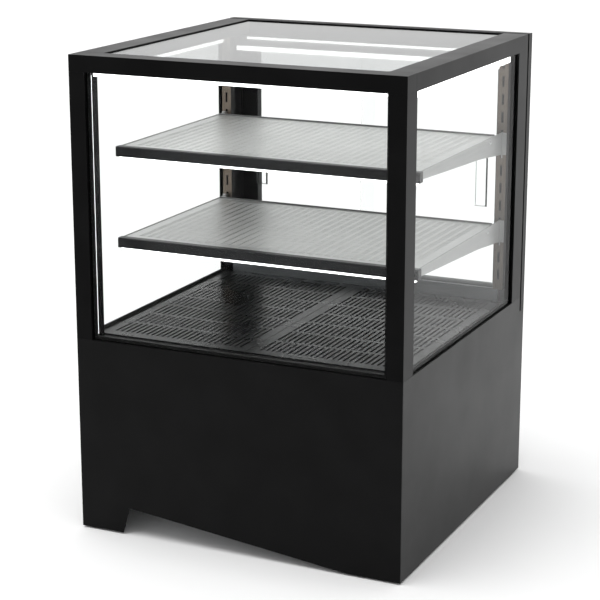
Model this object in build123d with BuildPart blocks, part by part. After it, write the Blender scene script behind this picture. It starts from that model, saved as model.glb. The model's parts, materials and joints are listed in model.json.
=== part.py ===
"""Benchtop refrigerated display case, as separate named pieces. Millimetres, +Z up.

The origin is at the centre of the footprint, on the surface the case stands on.
The front faces -Y, the sliding doors are at the back, and the case is 600 x 600 x 830.
"""

from build123d import *
import os

# Overall size, and the height of the closed base under the glass
case_width = 600.0
case_depth = 600.0
case_height = 830.0
base_height = 345.0
pad_height = 3.0
sheet = 2.0

x_side = case_width / 2
y_front = -case_depth / 2
y_back = case_depth / 2

# Black frame round the glass
post_width = 30.0
front_post_depth = 42.0
rail_height = 28.5
front_rail_depth = 38.0
side_rail_width = 45.0
rear_post_front = 230.0
rear_post_back = 277.0
rear_frame_front = 283.0
rear_frame_bottom = 318.0
rear_frame_stile = 59.0
rear_opening_bottom = 358.0
rear_opening_top = 788.0
rail_bottom = case_height - rail_height
post_inner = x_side - post_width
front_post_back = y_front + front_post_depth
front_rail_back = y_front + front_rail_depth
rail_inner = x_side - side_rail_width
rear_opening = x_side - rear_frame_stile

# Glass, with its grooves in the frame
glass = 6.0
glass_setback = 4.0
groove_depth = 8.0
groove_gap = 0.25
top_glass_drop = 2.0
glass_ledge = 8.0
glass_near = x_side - glass_setback - glass
glass_far = x_side - glass_setback
front_glass_y = (y_front + glass_setback, y_front + glass_setback + glass)
ledge_top = case_height - top_glass_drop - glass

# Floor grille, upstand and insulated well
deck_half_width = 279.0
deck_post_gap = 0.5
deck_front = front_post_back + deck_post_gap
deck_back = 226.0
deck_thickness = 2.0
sill_height = 20.0
sill_bottom = base_height - sill_height
well_half_width = 268.0
well_front = -250.0
well_back = 224.0
well_bottom = 228.0
well_wall = 22.0
well_floor = well_bottom + well_wall
well_x = (-well_half_width, well_half_width)
well_y = (well_front, well_back)
upstand_front = 228.0
upstand_thickness = 6.0
upstand_top = 370.0

# Slotted uprights, brackets and shelves
upright_inner = 265.0
upright_width = 18.0
upright_front = 216.0
upright_sheet = 1.5
upright_bottom = 372.0
upright_top = 798.0
slot_pitch = 32.0
slot_height = 19.0
slot_width = 4.0
first_slot = 400.0
slot_count = 13
shelf_half_width = 272.5
shelf_front = -178.0
shelf_back = 181.0
shelf_sheet = 1.5
shelf_flange = 9.0
trim_half_width = 278.0
trim_depth = 14.0
trim_height = 17.5
upper_shelf_top = 660.0
lower_shelf_top = 500.0
bracket_sheet = 2.0
bracket_rear_height = 40.0
bracket_tip_height = 14.0
bracket_bend_y = 100.0
bracket_bend_height = 29.0

# Sliding doors: the left one runs in the rear track, the right one in the front track
door_overlap = 10.0
door_outer = 268.0
left_door_y = 266.0
right_door_y = 250.0
door_glass = 5.0
door_frame = 8.0
door_bottom = 352.0
door_top = 787.0
track_front = 240.0
track_top_bottom = 779.0
track_top_top = 797.0
track_bottom_top = 358.0
track_groove = 9.0
pull_width = 24.0
pull_height = 110.0
pull_middle = 570.0

# Machine compartment
pan_bottom = 50.0
rear_panel_back = 290.0
compressor_radius = 70.0
compressor_centre = (-175.0, 100.0)
condenser_left = -30.0
condenser_width = 290.0
condenser_height = 145.0
fan_radius = 60.0
pipe_radius = 4.8

os.makedirs("parts", exist_ok=True)


def slab(x_span, y_span, z_span, mode=Mode.ADD):
    """A rectangular block between three pairs of limits, in the open part."""
    with BuildSketch(Plane.XY.offset(z_span[0])) as footprint:
        with Locations(((x_span[0] + x_span[1]) / 2, (y_span[0] + y_span[1]) / 2)):
            Rectangle(x_span[1] - x_span[0], y_span[1] - y_span[0])
    extrude(footprint.sketch, amount=z_span[1] - z_span[0], mode=mode)


def side_span(side, near, far):
    """The pair of X limits between near and far from the middle, on the left or right side."""
    return (near, far) if side > 0 else (-far, -near)


def around(middle, half):
    """The pair of limits at an equal distance on each side of the middle."""
    return (middle - half, middle + half)


def inset(span, by):
    """A pair of limits drawn in by the same amount at both ends."""
    return (span[0] + by, span[1] - by)


def round_bar(centre, direction, radius, length, mode=Mode.ADD):
    """A cylinder that starts at centre and runs along direction, in the open part."""
    with BuildSketch(Plane(origin=centre, z_dir=direction)) as disc:
        Circle(radius)
    extrude(disc.sketch, amount=length, mode=mode)


def save(piece, label):
    """Name a finished piece and write it to its own file."""
    piece.label = label
    export_step(piece, f"parts/{label}.step")


# Base casing: the front panel has a wedge-shaped cut-out at its foot
panel_back = y_front + sheet
return_depth = 25.0
cutout_left = -218.0
cutout_peak = (-205.0, 50.0)
cutout_right = 205.0
with BuildPart() as base_front_panel:
    slab((-x_side, x_side), (y_front, panel_back), (pad_height, base_height))
    for side in (-1, 1):
        slab(
            side_span(side, x_side - 2 * sheet, x_side - sheet),
            (panel_back, panel_back + return_depth),
            (pad_height + sheet, sill_bottom),
        )
    with BuildSketch(Plane.XZ.offset(-y_front)) as cutout:
        with BuildLine():
            Polyline(
                (cutout_left, 0),
                (cutout_left, pad_height),
                cutout_peak,
                (cutout_right, pad_height),
                (cutout_right, 0),
                close=True,
            )
        make_face()
    extrude(cutout.sketch, amount=2 * sheet, both=True, mode=Mode.SUBTRACT)
save(base_front_panel.part, "base_front_panel")

flange_width = 25.0
flange_end = 270.0
for side, hand in ((-1, "left"), (1, "right")):
    with BuildPart() as side_panel:
        panel_x = side_span(side, x_side - sheet, x_side)
        slab(panel_x, (panel_back, rear_post_back), (pad_height, base_height))
        slab(panel_x, (rear_post_back, y_back), (pad_height, rear_frame_bottom))
        slab(
            side_span(side, x_side - sheet - flange_width, x_side - sheet),
            (-flange_end, flange_end),
            (pad_height, pad_height + sheet),
        )
    save(side_panel.part, f"base_{hand}_panel")

pad_width = 24.0
pad_length = 60.0
pad_reach = 240.0
with BuildPart() as foot_pads:
    for side in (-1, 1):
        for end in (-1, 1):
            slab(
                side_span(side, x_side - sheet - pad_width, x_side - sheet),
                around(end * pad_reach, pad_length / 2),
                (0, pad_height),
            )
save(foot_pads.part, "foot_pads")

# Base pan between the side panels, with air slots behind the front cut-out
pan_half_width = x_side - sheet
pan_gap = 3.0
pan_front = panel_back + pan_gap
pan_shoulder = panel_back + return_depth + pan_gap
pan_back = rear_panel_back - 2 * sheet
pan_lip = 14.0
pan_top = pan_bottom + sheet
pan_slot_pitch = 14.0
pan_slot_count = 30
pan_slot_length = 34.0
pan_slot_y = -267.0
with BuildPart() as base_pan:
    slab((-pan_half_width, pan_half_width), (pan_shoulder, pan_back), (pan_bottom, pan_top))
    slab(
        inset((-pan_half_width, pan_half_width), 2 * sheet),
        (pan_front, pan_shoulder),
        (pan_bottom, pan_top),
    )
    for side in (-1, 1):
        slab(
            side_span(side, pan_half_width - sheet, pan_half_width),
            (pan_shoulder, pan_back),
            (pan_bottom, pan_bottom + pan_lip),
        )
    with BuildSketch(Plane.XY.offset(pan_bottom)) as air_slots:
        with Locations((0, pan_slot_y)):
            with GridLocations(pan_slot_pitch, 1, pan_slot_count, 1):
                Rectangle(slot_width, pan_slot_length)
    extrude(air_slots.sketch, amount=sheet, mode=Mode.SUBTRACT)
save(base_pan.part, "base_pan")

# Rear of the base: fixed panel with three openings, louvred service grille and its screws
rear_panel_front = rear_panel_back - sheet
grille_window = ((-215.0, 215.0), (48.0, 228.0))
grille_lap = 12.0
controller_centre = (150.0, 274.0)
controller_face = (78.0, 36.0)
inlet_centre = (-170.0, 274.0)
inlet_face = (66.0, 32.0)
face_lap = 3.0
grille_half_width = grille_window[0][1] + grille_lap
grille_z = inset(grille_window[1], -grille_lap)
screw_radius = 2.0
screw_clearance = 0.1
screw_inset = 6.0
screw_spots = [
    (x, z)
    for x in (-grille_half_width + screw_inset, 0, grille_half_width - screw_inset)
    for z in inset(grille_z, screw_inset)
]


def screw_holes(y_from, y_to):
    """The holes for the grille screws, through the open part."""
    for x, z in screw_spots:
        round_bar((x, y_from, z), (0, 1, 0), screw_radius + screw_clearance, y_to - y_from, Mode.SUBTRACT)


with BuildPart() as base_rear_panel:
    slab(
        (-x_side + sheet, x_side - sheet),
        (rear_panel_front, rear_panel_back),
        (pad_height + sheet, rear_frame_bottom),
    )
    screw_holes(rear_panel_front, rear_panel_back)
    slab(grille_window[0], (rear_panel_front, rear_panel_back), grille_window[1], Mode.SUBTRACT)
    for centre, face in ((controller_centre, controller_face), (inlet_centre, inlet_face)):
        slab(
            around(centre[0], face[0] / 2 - face_lap),
            (rear_panel_front, rear_panel_back),
            around(centre[1], face[1] / 2 - face_lap),
            Mode.SUBTRACT,
        )
save(base_rear_panel.part, "base_rear_panel")

grille_back = rear_panel_back + sheet
louvre_length = 76.0
louvre_spacing = 102.0
louvre_pitch = 12.0
louvre_rows = 13
louvre_columns = 4
with BuildPart() as service_grille:
    slab((-grille_half_width, grille_half_width), (rear_panel_back, grille_back), grille_z)
    screw_holes(rear_panel_back, grille_back)
    with BuildSketch(Plane.XZ.offset(-rear_panel_back)) as louvres:
        with Locations((0, sum(grille_z) / 2)):
            with GridLocations(louvre_spacing, louvre_pitch, louvre_columns, louvre_rows):
                Rectangle(louvre_length, slot_width)
    extrude(louvres.sketch, amount=-sheet, mode=Mode.SUBTRACT)
save(service_grille.part, "service_grille")

screw_head_radius = 4.0
screw_head_height = 2.2
screw_reach = 4.0
screw_tip_y = rear_panel_front - screw_reach
with BuildPart() as grille_screws:
    for x, z in screw_spots:
        round_bar((x, grille_back, z), (0, 1, 0), screw_head_radius, screw_head_height)
        round_bar((x, screw_tip_y, z), (0, 1, 0), screw_radius, grille_back - screw_tip_y)
save(grille_screws.part, "grille_screws")

# Glazing sill: the ledge that closes the base and carries posts and glass
sill_groove = (base_height - groove_depth, base_height)
side_groove_x = (glass_near - groove_gap, glass_far + groove_gap)
side_groove_y = (front_post_back - groove_depth, rear_post_front + groove_depth)
front_groove_half = post_inner + groove_depth
front_groove_x = (-front_groove_half, front_groove_half)
front_groove_y = inset(front_glass_y, -groove_gap)
with BuildPart() as glazing_sill:
    slab((-x_side + sheet, x_side - sheet), (panel_back, rear_post_back), (sill_bottom, base_height))
    slab(well_x, well_y, (sill_bottom, base_height), Mode.SUBTRACT)
    slab(front_groove_x, front_groove_y, sill_groove, Mode.SUBTRACT)
    for side in (-1, 1):
        slab(side_span(side, *side_groove_x), side_groove_y, sill_groove, Mode.SUBTRACT)
save(glazing_sill.part, "glazing_sill")

# Posts, with grooves for the glass
post_z = (base_height, rail_bottom)
for side, hand in ((-1, "left"), (1, "right")):
    with BuildPart() as front_post:
        slab(side_span(side, post_inner, x_side), (y_front, front_post_back), post_z)
        slab(side_span(side, post_inner, front_groove_half), front_groove_y, post_z, Mode.SUBTRACT)
        slab(side_span(side, *side_groove_x), (side_groove_y[0], front_post_back), post_z, Mode.SUBTRACT)
    save(front_post.part, f"front_{hand}_post")

    with BuildPart() as rear_post:
        slab(side_span(side, post_inner, x_side), (rear_post_front, rear_post_back), post_z)
        slab(side_span(side, *side_groove_x), (rear_post_front, side_groove_y[1]), post_z, Mode.SUBTRACT)
    save(rear_post.part, f"rear_{hand}_post")

# Top rails, each with a groove for the glass below it and a ledge for the top glass
rail_groove = (rail_bottom, rail_bottom + groove_depth)
ledge_z = (rail_bottom, ledge_top)
rail_z = (rail_bottom, case_height)
rear_ledge_front = rear_post_back - 2 * glass_ledge
with BuildPart() as front_top_rail:
    slab((-x_side, x_side), (y_front, front_rail_back), rail_z)
    slab((-rail_inner, rail_inner), (front_rail_back, front_rail_back + glass_ledge), ledge_z)
    slab(front_groove_x, front_groove_y, rail_groove, Mode.SUBTRACT)
    for side in (-1, 1):
        slab(side_span(side, *side_groove_x), (side_groove_y[0], front_rail_back), rail_groove, Mode.SUBTRACT)
save(front_top_rail.part, "front_top_rail")

for side, hand in ((-1, "left"), (1, "right")):
    with BuildPart() as side_rail:
        slab(side_span(side, rail_inner, x_side), (front_rail_back, rear_post_back), rail_z)
        slab(
            side_span(side, rail_inner - glass_ledge, rail_inner),
            (front_rail_back + glass_ledge, rear_ledge_front),
            ledge_z,
        )
        slab(side_span(side, *side_groove_x), (front_rail_back, side_groove_y[1]), rail_groove, Mode.SUBTRACT)
    save(side_rail.part, f"{hand}_top_rail")

header_lip = 5.0
with BuildPart() as rear_header:
    slab((-rail_inner, rail_inner), (rear_ledge_front, rear_post_back), ledge_z)
    slab((-rail_inner, rail_inner), (rear_post_back - header_lip, rear_post_back), (ledge_top, case_height))
    slab((-post_inner, post_inner), (rear_ledge_front, rear_post_back), (track_top_top, rail_bottom))
save(rear_header.part, "rear_header")

with BuildPart() as rear_frame:
    slab((-x_side, x_side), (rear_frame_front, y_back), (rear_frame_bottom, case_height))
    slab(
        (-rear_opening, rear_opening),
        (rear_frame_front, y_back),
        (rear_opening_bottom, rear_opening_top),
        Mode.SUBTRACT,
    )
save(rear_frame.part, "rear_frame")

# Glass panes
pane_z = (base_height - groove_depth + groove_gap, rail_bottom + groove_depth - groove_gap)
with BuildPart() as front_glass:
    slab(inset(front_groove_x, groove_gap), front_glass_y, pane_z)
save(front_glass.part, "front_glass")

for side, hand in ((-1, "left"), (1, "right")):
    with BuildPart() as side_glass:
        slab(side_span(side, glass_near, glass_far), inset(side_groove_y, groove_gap), pane_z)
    save(side_glass.part, f"{hand}_glass")

with BuildPart() as top_glass:
    slab(
        inset((-rail_inner, rail_inner), groove_gap),
        inset((front_rail_back, rear_post_back - header_lip), groove_gap),
        (ledge_top, ledge_top + glass),
    )
save(top_glass.part, "top_glass")

# Seals: strips on the inside of the glass along the frame, and a ring in front of the rear frame
seal = 2.5
seal_width = 6.0
ring_inset = 4.0
ring_width = 18.0
front_seal_y = (front_glass_y[1], front_glass_y[1] + seal)
post_seal_z = (base_height + seal_width, rail_bottom)
sill_seal_z = (base_height, base_height + seal_width)
ring_x = inset((-x_side, x_side), ring_inset)
ring_y = (rear_post_back, rear_frame_front)
ring_z = (sill_bottom, case_height - ring_inset)
with BuildPart() as frame_seals:
    slab((-post_inner, post_inner), front_seal_y, sill_seal_z)
    for side in (-1, 1):
        slab(side_span(side, post_inner - seal_width, post_inner), front_seal_y, post_seal_z)
        side_seal_x = side_span(side, glass_near - seal, glass_near)
        slab(side_seal_x, (front_post_back, front_post_back + seal_width), post_seal_z)
        slab(side_seal_x, (front_post_back, rear_post_front), sill_seal_z)
    slab(ring_x, ring_y, ring_z)
    slab(inset(ring_x, ring_width), ring_y, inset(ring_z, ring_width), Mode.SUBTRACT)
save(frame_seals.part, "frame_seals")

# Light strips under the top rails, on the door track and down the inner face of the front posts
front_light_depth = 12.0
front_light_height = 7.0
front_light_half = 260.0
side_light_x = (277.0, 287.0)
side_light_height = 14.0
track_light_y = (236.0, 242.0)
track_light_height = 8.0
track_light_half = 262.0
top_strip_depth = 2.0
top_strip_height = 4.0
post_strip_thickness = 1.5
post_strip_depth = 8.5
post_strip_y = (front_seal_y[1], front_seal_y[1] + post_strip_depth)
with BuildPart() as case_lights:
    slab(
        (-front_light_half, front_light_half),
        (front_seal_y[1], front_seal_y[1] + front_light_depth),
        (rail_bottom - front_light_height, rail_bottom),
    )
    for side in (-1, 1):
        slab(
            side_span(side, *side_light_x),
            (front_post_back + sheet, upright_front - 2 * sheet),
            (rail_bottom - side_light_height, rail_bottom),
        )
        slab(
            side_span(side, post_inner - post_strip_thickness, post_inner),
            post_strip_y,
            (base_height + seal_width, rail_bottom - front_light_height),
        )
    slab(
        (-track_light_half, track_light_half),
        track_light_y,
        (track_top_bottom - track_light_height, track_top_bottom),
    )
    slab(
        (-rear_opening, rear_opening),
        (track_front - top_strip_depth, track_front),
        (track_top_top - top_strip_height, track_top_top),
    )
save(case_lights.part, "case_lights")

# Door tracks, each with two grooves
track_clearance = 0.5
track_x = (track_clearance - post_inner, post_inner - track_clearance)
groove_headroom = 4.0
with BuildPart() as door_track_top:
    slab(track_x, (track_front, rear_post_back), (track_top_bottom, track_top_top))
    for door_y in (left_door_y, right_door_y):
        slab(
            track_x,
            around(door_y, track_groove / 2),
            (track_top_bottom, door_top + groove_headroom),
            Mode.SUBTRACT,
        )
save(door_track_top.part, "door_track_top")

upstand_back = upstand_front + upstand_thickness
with BuildPart() as rear_sill:
    slab(track_x, (upstand_front, upstand_back), (base_height, upstand_top))
    slab(track_x, (upstand_back, rear_post_back), (base_height, track_bottom_top))
    for door_y in (left_door_y, right_door_y):
        slab(
            track_x,
            around(door_y, track_groove / 2),
            (door_bottom - track_clearance, track_bottom_top),
            Mode.SUBTRACT,
        )
save(rear_sill.part, "rear_sill")

# Sliding doors: glass between a bottom and a top rail, with a finger pull set through it
bottom_rail_height = 22.0
top_rail_height = 12.0
pane_bottom_inset = 10.0
pane_top_inset = 6.0
pane_bottom = door_bottom + pane_bottom_inset
pane_top = door_top - pane_top_inset
pull_gap = 4.0
pull_wall = 1.7
pull_flange = 2.3
pull_flange_thickness = 1.2
pull_reach = 1.5
pane_hole_inset = 2.0
pull_z = around(pull_middle, pull_height / 2)
for side, hand, door_y in ((-1, "left", left_door_y), (1, "right", right_door_y)):
    door_x = side_span(side, -door_overlap, door_outer)
    pane_y = around(door_y, door_glass / 2)
    rail_y = around(door_y, door_frame / 2)
    pull_x = side_span(side, rear_opening - pull_gap - pull_width, rear_opening - pull_gap)
    cup_x = inset(pull_x, pull_flange)
    cup_z = inset(pull_z, pull_flange)

    with BuildPart() as pane:
        slab(door_x, pane_y, (pane_bottom, pane_top))
        slab(inset(pull_x, pane_hole_inset), pane_y, inset(pull_z, pane_hole_inset), Mode.SUBTRACT)
    save(pane.part, f"{hand}_door_glass")

    with BuildPart() as door_rails:
        slab(door_x, rail_y, (door_bottom, door_bottom + bottom_rail_height))
        slab(door_x, rail_y, (door_top - top_rail_height, door_top))
        slab(door_x, pane_y, (pane_bottom, pane_top), Mode.SUBTRACT)
    save(door_rails.part, f"{hand}_door_rails")

    with BuildPart() as pull:
        slab(pull_x, (pane_y[1], pane_y[1] + pull_flange_thickness), pull_z)
        slab(cup_x, (pane_y[0] - pull_reach, pane_y[1]), cup_z)
        slab(
            inset(cup_x, pull_wall),
            (pane_y[0], pane_y[1] + pull_flange_thickness),
            inset(cup_z, pull_wall),
            Mode.SUBTRACT,
        )
    save(pull.part, f"{hand}_door_pull")

# Insulated well under the floor grille, with its shoulder against the underside of the sill
well_fit = 0.5
well_shoulder = 8.0
pipe_clearance = 0.2
suction_hole = (-60.0, 120.0)
drain_hole = (210.0, -60.0)
with BuildPart() as insulated_well:
    slab(inset(well_x, well_fit), inset(well_y, well_fit), (sill_bottom, base_height))
    slab(inset(well_x, -well_shoulder), inset(well_y, -well_shoulder), (well_bottom, sill_bottom))
    slab(inset(well_x, well_wall), inset(well_y, well_wall), (well_floor, base_height), Mode.SUBTRACT)
    for spot in (suction_hole, drain_hole):
        round_bar((*spot, well_bottom), (0, 0, 1), pipe_radius + pipe_clearance, well_wall, Mode.SUBTRACT)
save(insulated_well.part, "insulated_well")

# Floor grille in two halves that lift past the uprights, with slots that run front to back
deck_slot_pitch = 10.0
deck_slot_columns = 25
deck_slot_rows = 7
deck_slot_length = 56.0
deck_slot_gap = 8.0
deck_corner_gap = 4.0
deck_corner = (upright_inner - deck_corner_gap, upright_front - deck_corner_gap)
deck_joint = 0.5
deck_z = (base_height, base_height + deck_thickness)
for side, hand in ((-1, "left"), (1, "right")):
    with BuildPart() as deck_panel:
        slab(side_span(side, deck_joint, deck_half_width), (deck_front, deck_back), deck_z)
        slab(
            side_span(side, deck_corner[0], deck_half_width),
            (deck_corner[1], deck_back),
            deck_z,
            Mode.SUBTRACT,
        )
        with BuildSketch(Plane.XY.offset(base_height)) as deck_slots:
            with Locations((side * deck_half_width / 2, (deck_front + deck_back) / 2)):
                with GridLocations(
                    deck_slot_pitch,
                    deck_slot_length + deck_slot_gap,
                    deck_slot_columns,
                    deck_slot_rows,
                ):
                    Rectangle(slot_width, deck_slot_length)
        extrude(deck_slots.sketch, amount=deck_thickness, mode=Mode.SUBTRACT)
    save(deck_panel.part, f"deck_panel_{hand}")

# Slotted uprights, open at the back
upright_y = (upright_front, rear_post_front)
upright_z = (upright_bottom, upright_top)
upright_middle = upright_inner + upright_width / 2
with BuildPart() as slotted_uprights:
    for side in (-1, 1):
        upright_x = side_span(side, upright_inner, upright_inner + upright_width)
        slab(upright_x, upright_y, upright_z)
        slab(
            inset(upright_x, upright_sheet),
            (upright_front + upright_sheet, rear_post_front),
            upright_z,
            Mode.SUBTRACT,
        )
        for step in range(slot_count):
            slab(
                around(side * upright_middle, slot_width / 2),
                (upright_front, upright_front + upright_sheet),
                around(first_slot + step * slot_pitch, slot_height / 2),
                Mode.SUBTRACT,
            )
save(slotted_uprights.part, "slotted_uprights")

# Shelves, each with a front trim, a light strip under it and a pair of brackets
shelf_slot_columns = 12
shelf_slot_rows = 20
shelf_slot_length = 34.0
shelf_slot_gap = 8.0
shelf_row_pitch = 15.0
shelf_rear_lip = 3.0
trim_rise = 1.0
trim_chamfer = 1.5
light_inset = 6.0
light_setback = 2.0
light_depth = 9.0
light_y = (shelf_front - trim_depth + light_setback, shelf_front - trim_depth + light_setback + light_depth)
light_height = 4.0
blade_gap = 0.5
blade_inner = shelf_half_width + blade_gap
blade_tip = shelf_front + blade_gap
bracket_ledge = 10.0
ledge_start = 8.0
hook_reach = 5.0
hook_drop = 9.0
hook_above = 6.0
hook_below = 5.0


def hooks(side, bracket_top):
    """Two hooks that pass through the upright's slots and drop behind its face, in the open part."""
    hook_x = around(side * upright_middle, bracket_sheet / 2)
    slot_step = round((bracket_top - hook_below - first_slot) / slot_pitch)
    behind_face = upright_front + upright_sheet + blade_gap
    for step in (slot_step, slot_step - 1):
        slot_z = first_slot + step * slot_pitch
        arm_bottom = slot_z - hook_below
        arm_top = min(slot_z + hook_above, bracket_top)
        slab(hook_x, (upright_front, upright_front + hook_reach), (arm_bottom, arm_top))
        slab(hook_x, (behind_face, upright_front + hook_reach), (arm_bottom - hook_drop, arm_bottom))


for level, shelf_top in (("upper", upper_shelf_top), ("lower", lower_shelf_top)):
    plate_bottom = shelf_top - shelf_sheet
    flange_bottom = plate_bottom - shelf_flange
    with BuildPart() as shelf:
        slab((-shelf_half_width, shelf_half_width), (shelf_front, shelf_back), (plate_bottom, shelf_top))
        for side in (-1, 1):
            slab(
                side_span(side, shelf_half_width - shelf_sheet, shelf_half_width),
                (shelf_front, shelf_back),
                (flange_bottom, plate_bottom),
            )
        slab(
            (-shelf_half_width, shelf_half_width),
            (shelf_back - shelf_sheet, shelf_back),
            (flange_bottom, shelf_top + shelf_rear_lip),
        )
        with BuildSketch(Plane.XY.offset(plate_bottom)) as perforation:
            with GridLocations(
                shelf_slot_length + shelf_slot_gap,
                shelf_row_pitch,
                shelf_slot_columns,
                shelf_slot_rows,
            ):
                Rectangle(shelf_slot_length, slot_width)
        extrude(perforation.sketch, amount=shelf_sheet, mode=Mode.SUBTRACT)
    save(shelf.part, f"{level}_shelf")

    trim_top = shelf_top + trim_rise
    trim_bottom = trim_top - trim_height
    trim_x = (-trim_half_width, trim_half_width)
    with BuildPart() as shelf_trim:
        slab(trim_x, (shelf_front - trim_depth, shelf_front), (trim_bottom, trim_top))
        front_edges = shelf_trim.edges().filter_by(Axis.X).group_by(Axis.Y)[0]
        chamfer(front_edges.sort_by(Axis.Z)[-1], trim_chamfer)
    save(shelf_trim.part, f"{level}_shelf_trim")

    with BuildPart() as shelf_light:
        slab(inset(trim_x, light_inset), light_y, (trim_bottom - light_height, trim_bottom))
    save(shelf_light.part, f"{level}_shelf_light")

    with BuildPart() as brackets:
        for side in (-1, 1):
            blade_x = side_span(side, blade_inner, blade_inner + bracket_sheet)
            with BuildSketch(Plane.YZ.offset(blade_x[0])) as blade:
                with BuildLine():
                    Polyline(
                        (upright_front, trim_top),
                        (blade_tip, trim_top),
                        (blade_tip, trim_top - bracket_tip_height),
                        (bracket_bend_y, trim_top - bracket_bend_height),
                        (upright_front, trim_top - bracket_rear_height),
                        close=True,
                    )
                make_face()
            extrude(blade.sketch, amount=bracket_sheet)
            slab(
                side_span(side, blade_inner, upright_inner + upright_width),
                (upright_front - bracket_sheet, upright_front),
                (trim_top - bracket_rear_height, trim_top),
            )
            slab(
                side_span(side, blade_inner - bracket_ledge, blade_inner),
                (blade_tip + ledge_start, shelf_back),
                (flange_bottom - shelf_sheet, flange_bottom),
            )
            hooks(side, trim_top)
    save(brackets.part, f"{level}_brackets")

# Compressor on rubber mounts, its discharge level with a tube of the condenser
condenser_x = (condenser_left, condenser_left + condenser_width)
condenser_y = (-240.0, -196.0)
condenser_foot = 2.0
condenser_z = (pan_top + condenser_foot, pan_top + condenser_foot + condenser_height)
tube_rows = 4
mount_height = 12.0
mount_radius = 9.0
mount_spots = [(x, y) for x in (-78.0, 78.0) for y in (-42.0, 42.0)]
foot_plate = (88.0, 52.0, 3.0)
shell_bottom = pan_top + mount_height + foot_plate[2]
shell_height = 140.0
shell_foot_taper = 12.0
shell_shoulders = ((2.0, 68.0), (4.0, 112.0), (14.0, 128.0), (36.0, 137.0))
seam_height = 62.0
seam_lip = 5.0
seam_thickness = 6.0
stub_root = 4.0
stub_length = 12.0
suction_height = 88.0
discharge_row = 1.5
discharge_height = condenser_z[0] + condenser_height * discharge_row / tube_rows - shell_bottom
with BuildPart() as compressor:
    with BuildSketch(Plane.XZ) as half_shell:
        with BuildLine():
            Polyline(
                (0, 0),
                (compressor_radius - shell_foot_taper, 0),
                (compressor_radius, shell_foot_taper),
                (compressor_radius, seam_height),
                (compressor_radius + seam_lip, seam_height),
                (compressor_radius + seam_lip, seam_height + seam_thickness),
                *((compressor_radius - inward, height) for inward, height in shell_shoulders),
                (0, shell_height),
                close=True,
            )
        make_face()
    revolve(axis=Axis.Z)
    slab((-foot_plate[0], foot_plate[0]), (-foot_plate[1], foot_plate[1]), (-foot_plate[2], 0))
    round_bar((compressor_radius - stub_root, 0, suction_height), (1, 0, 0), pipe_radius, stub_length)
    round_bar((0, stub_root - compressor_radius, discharge_height), (0, -1, 0), pipe_radius, stub_length)
save(compressor.part.moved(Location((*compressor_centre, shell_bottom))), "compressor")

with BuildPart() as compressor_mounts:
    for x, y in mount_spots:
        spot = (compressor_centre[0] + x, compressor_centre[1] + y, pan_top)
        round_bar(spot, (0, 0, 1), mount_radius, mount_height)
save(compressor_mounts.part, "compressor_mounts")

# Condenser and evaporator coils: upright fins across a thin spine, with tube bends at both ends
fin_pitch = 8.0
fin_thickness = 1.2
spine = 6.0
coil_end = 10.0
bend_length = 9.0
condenser_fins = 34
evaporator_fins = 32


def finned_coil(x_span, y_span, z_span, fins):
    """The fins, spine and tube bends of a coil, in the open part."""
    y_middle = sum(y_span) / 2
    spine_x = inset(x_span, coil_end)
    slab(spine_x, around(y_middle, spine / 2), z_span)
    first_fin = sum(x_span) / 2 - (fins - 1) * fin_pitch / 2
    for step in range(fins):
        slab(around(first_fin + step * fin_pitch, fin_thickness / 2), y_span, z_span)
    for end_x, outward in ((spine_x[0], -1), (spine_x[1], 1)):
        for row in range(tube_rows):
            row_z = z_span[0] + (row + 0.5) * (z_span[1] - z_span[0]) / tube_rows
            round_bar((end_x, y_middle, row_z), (outward, 0, 0), pipe_radius, bend_length)


with BuildPart() as condenser:
    finned_coil(condenser_x, condenser_y, condenser_z, condenser_fins)
    slab(inset(condenser_x, coil_end + sheet), condenser_y, (pan_top, condenser_z[0]))
save(condenser.part, "condenser")

# Condenser fan: shroud with the motor on a cross bar, and a rotor on the motor's shaft
shaft_radius = 3.0
shaft_length = 10.0
shaft_gap = 0.05
hub_gap = 1.0
motor_radius = 22.0
motor_length = 40.0
bar_half = 8.0
shroud_gap = 1.0
shroud_depth = 25.0
fan_x = sum(condenser_x) / 2
fan_z = sum(condenser_z) / 2
shroud_x = inset(condenser_x, coil_end)
shroud_y = (condenser_y[1] + shroud_gap, condenser_y[1] + shroud_gap + shroud_depth)
motor_setback = 4.0
motor_front = shroud_y[1] + motor_setback
fan_tip_gap = 4.0
with BuildPart() as condenser_fan_shroud:
    slab(shroud_x, shroud_y, (pan_top, condenser_z[1]))
    round_bar((fan_x, shroud_y[0], fan_z), (0, 1, 0), fan_radius + fan_tip_gap, shroud_depth, Mode.SUBTRACT)
    slab(shroud_x, (motor_front, motor_front + sheet), around(fan_z, bar_half))
    for arm_x in ((shroud_x[0], shroud_x[0] + sheet), (shroud_x[1] - sheet, shroud_x[1])):
        slab(arm_x, (shroud_y[1], motor_front + sheet), around(fan_z, bar_half))
    round_bar((fan_x, motor_front, fan_z), (0, 1, 0), motor_radius, motor_length)
    round_bar((fan_x, motor_front, fan_z), (0, -1, 0), shaft_radius, shaft_length)
save(condenser_fan_shroud.part, "condenser_fan_shroud")

blade_pitch = 28.0
blade_thickness = 1.6
blade_chord = 1.6
blade_root = 1.0
condenser_hub = (20.0, 14.0)
condenser_blades = 5


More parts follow.
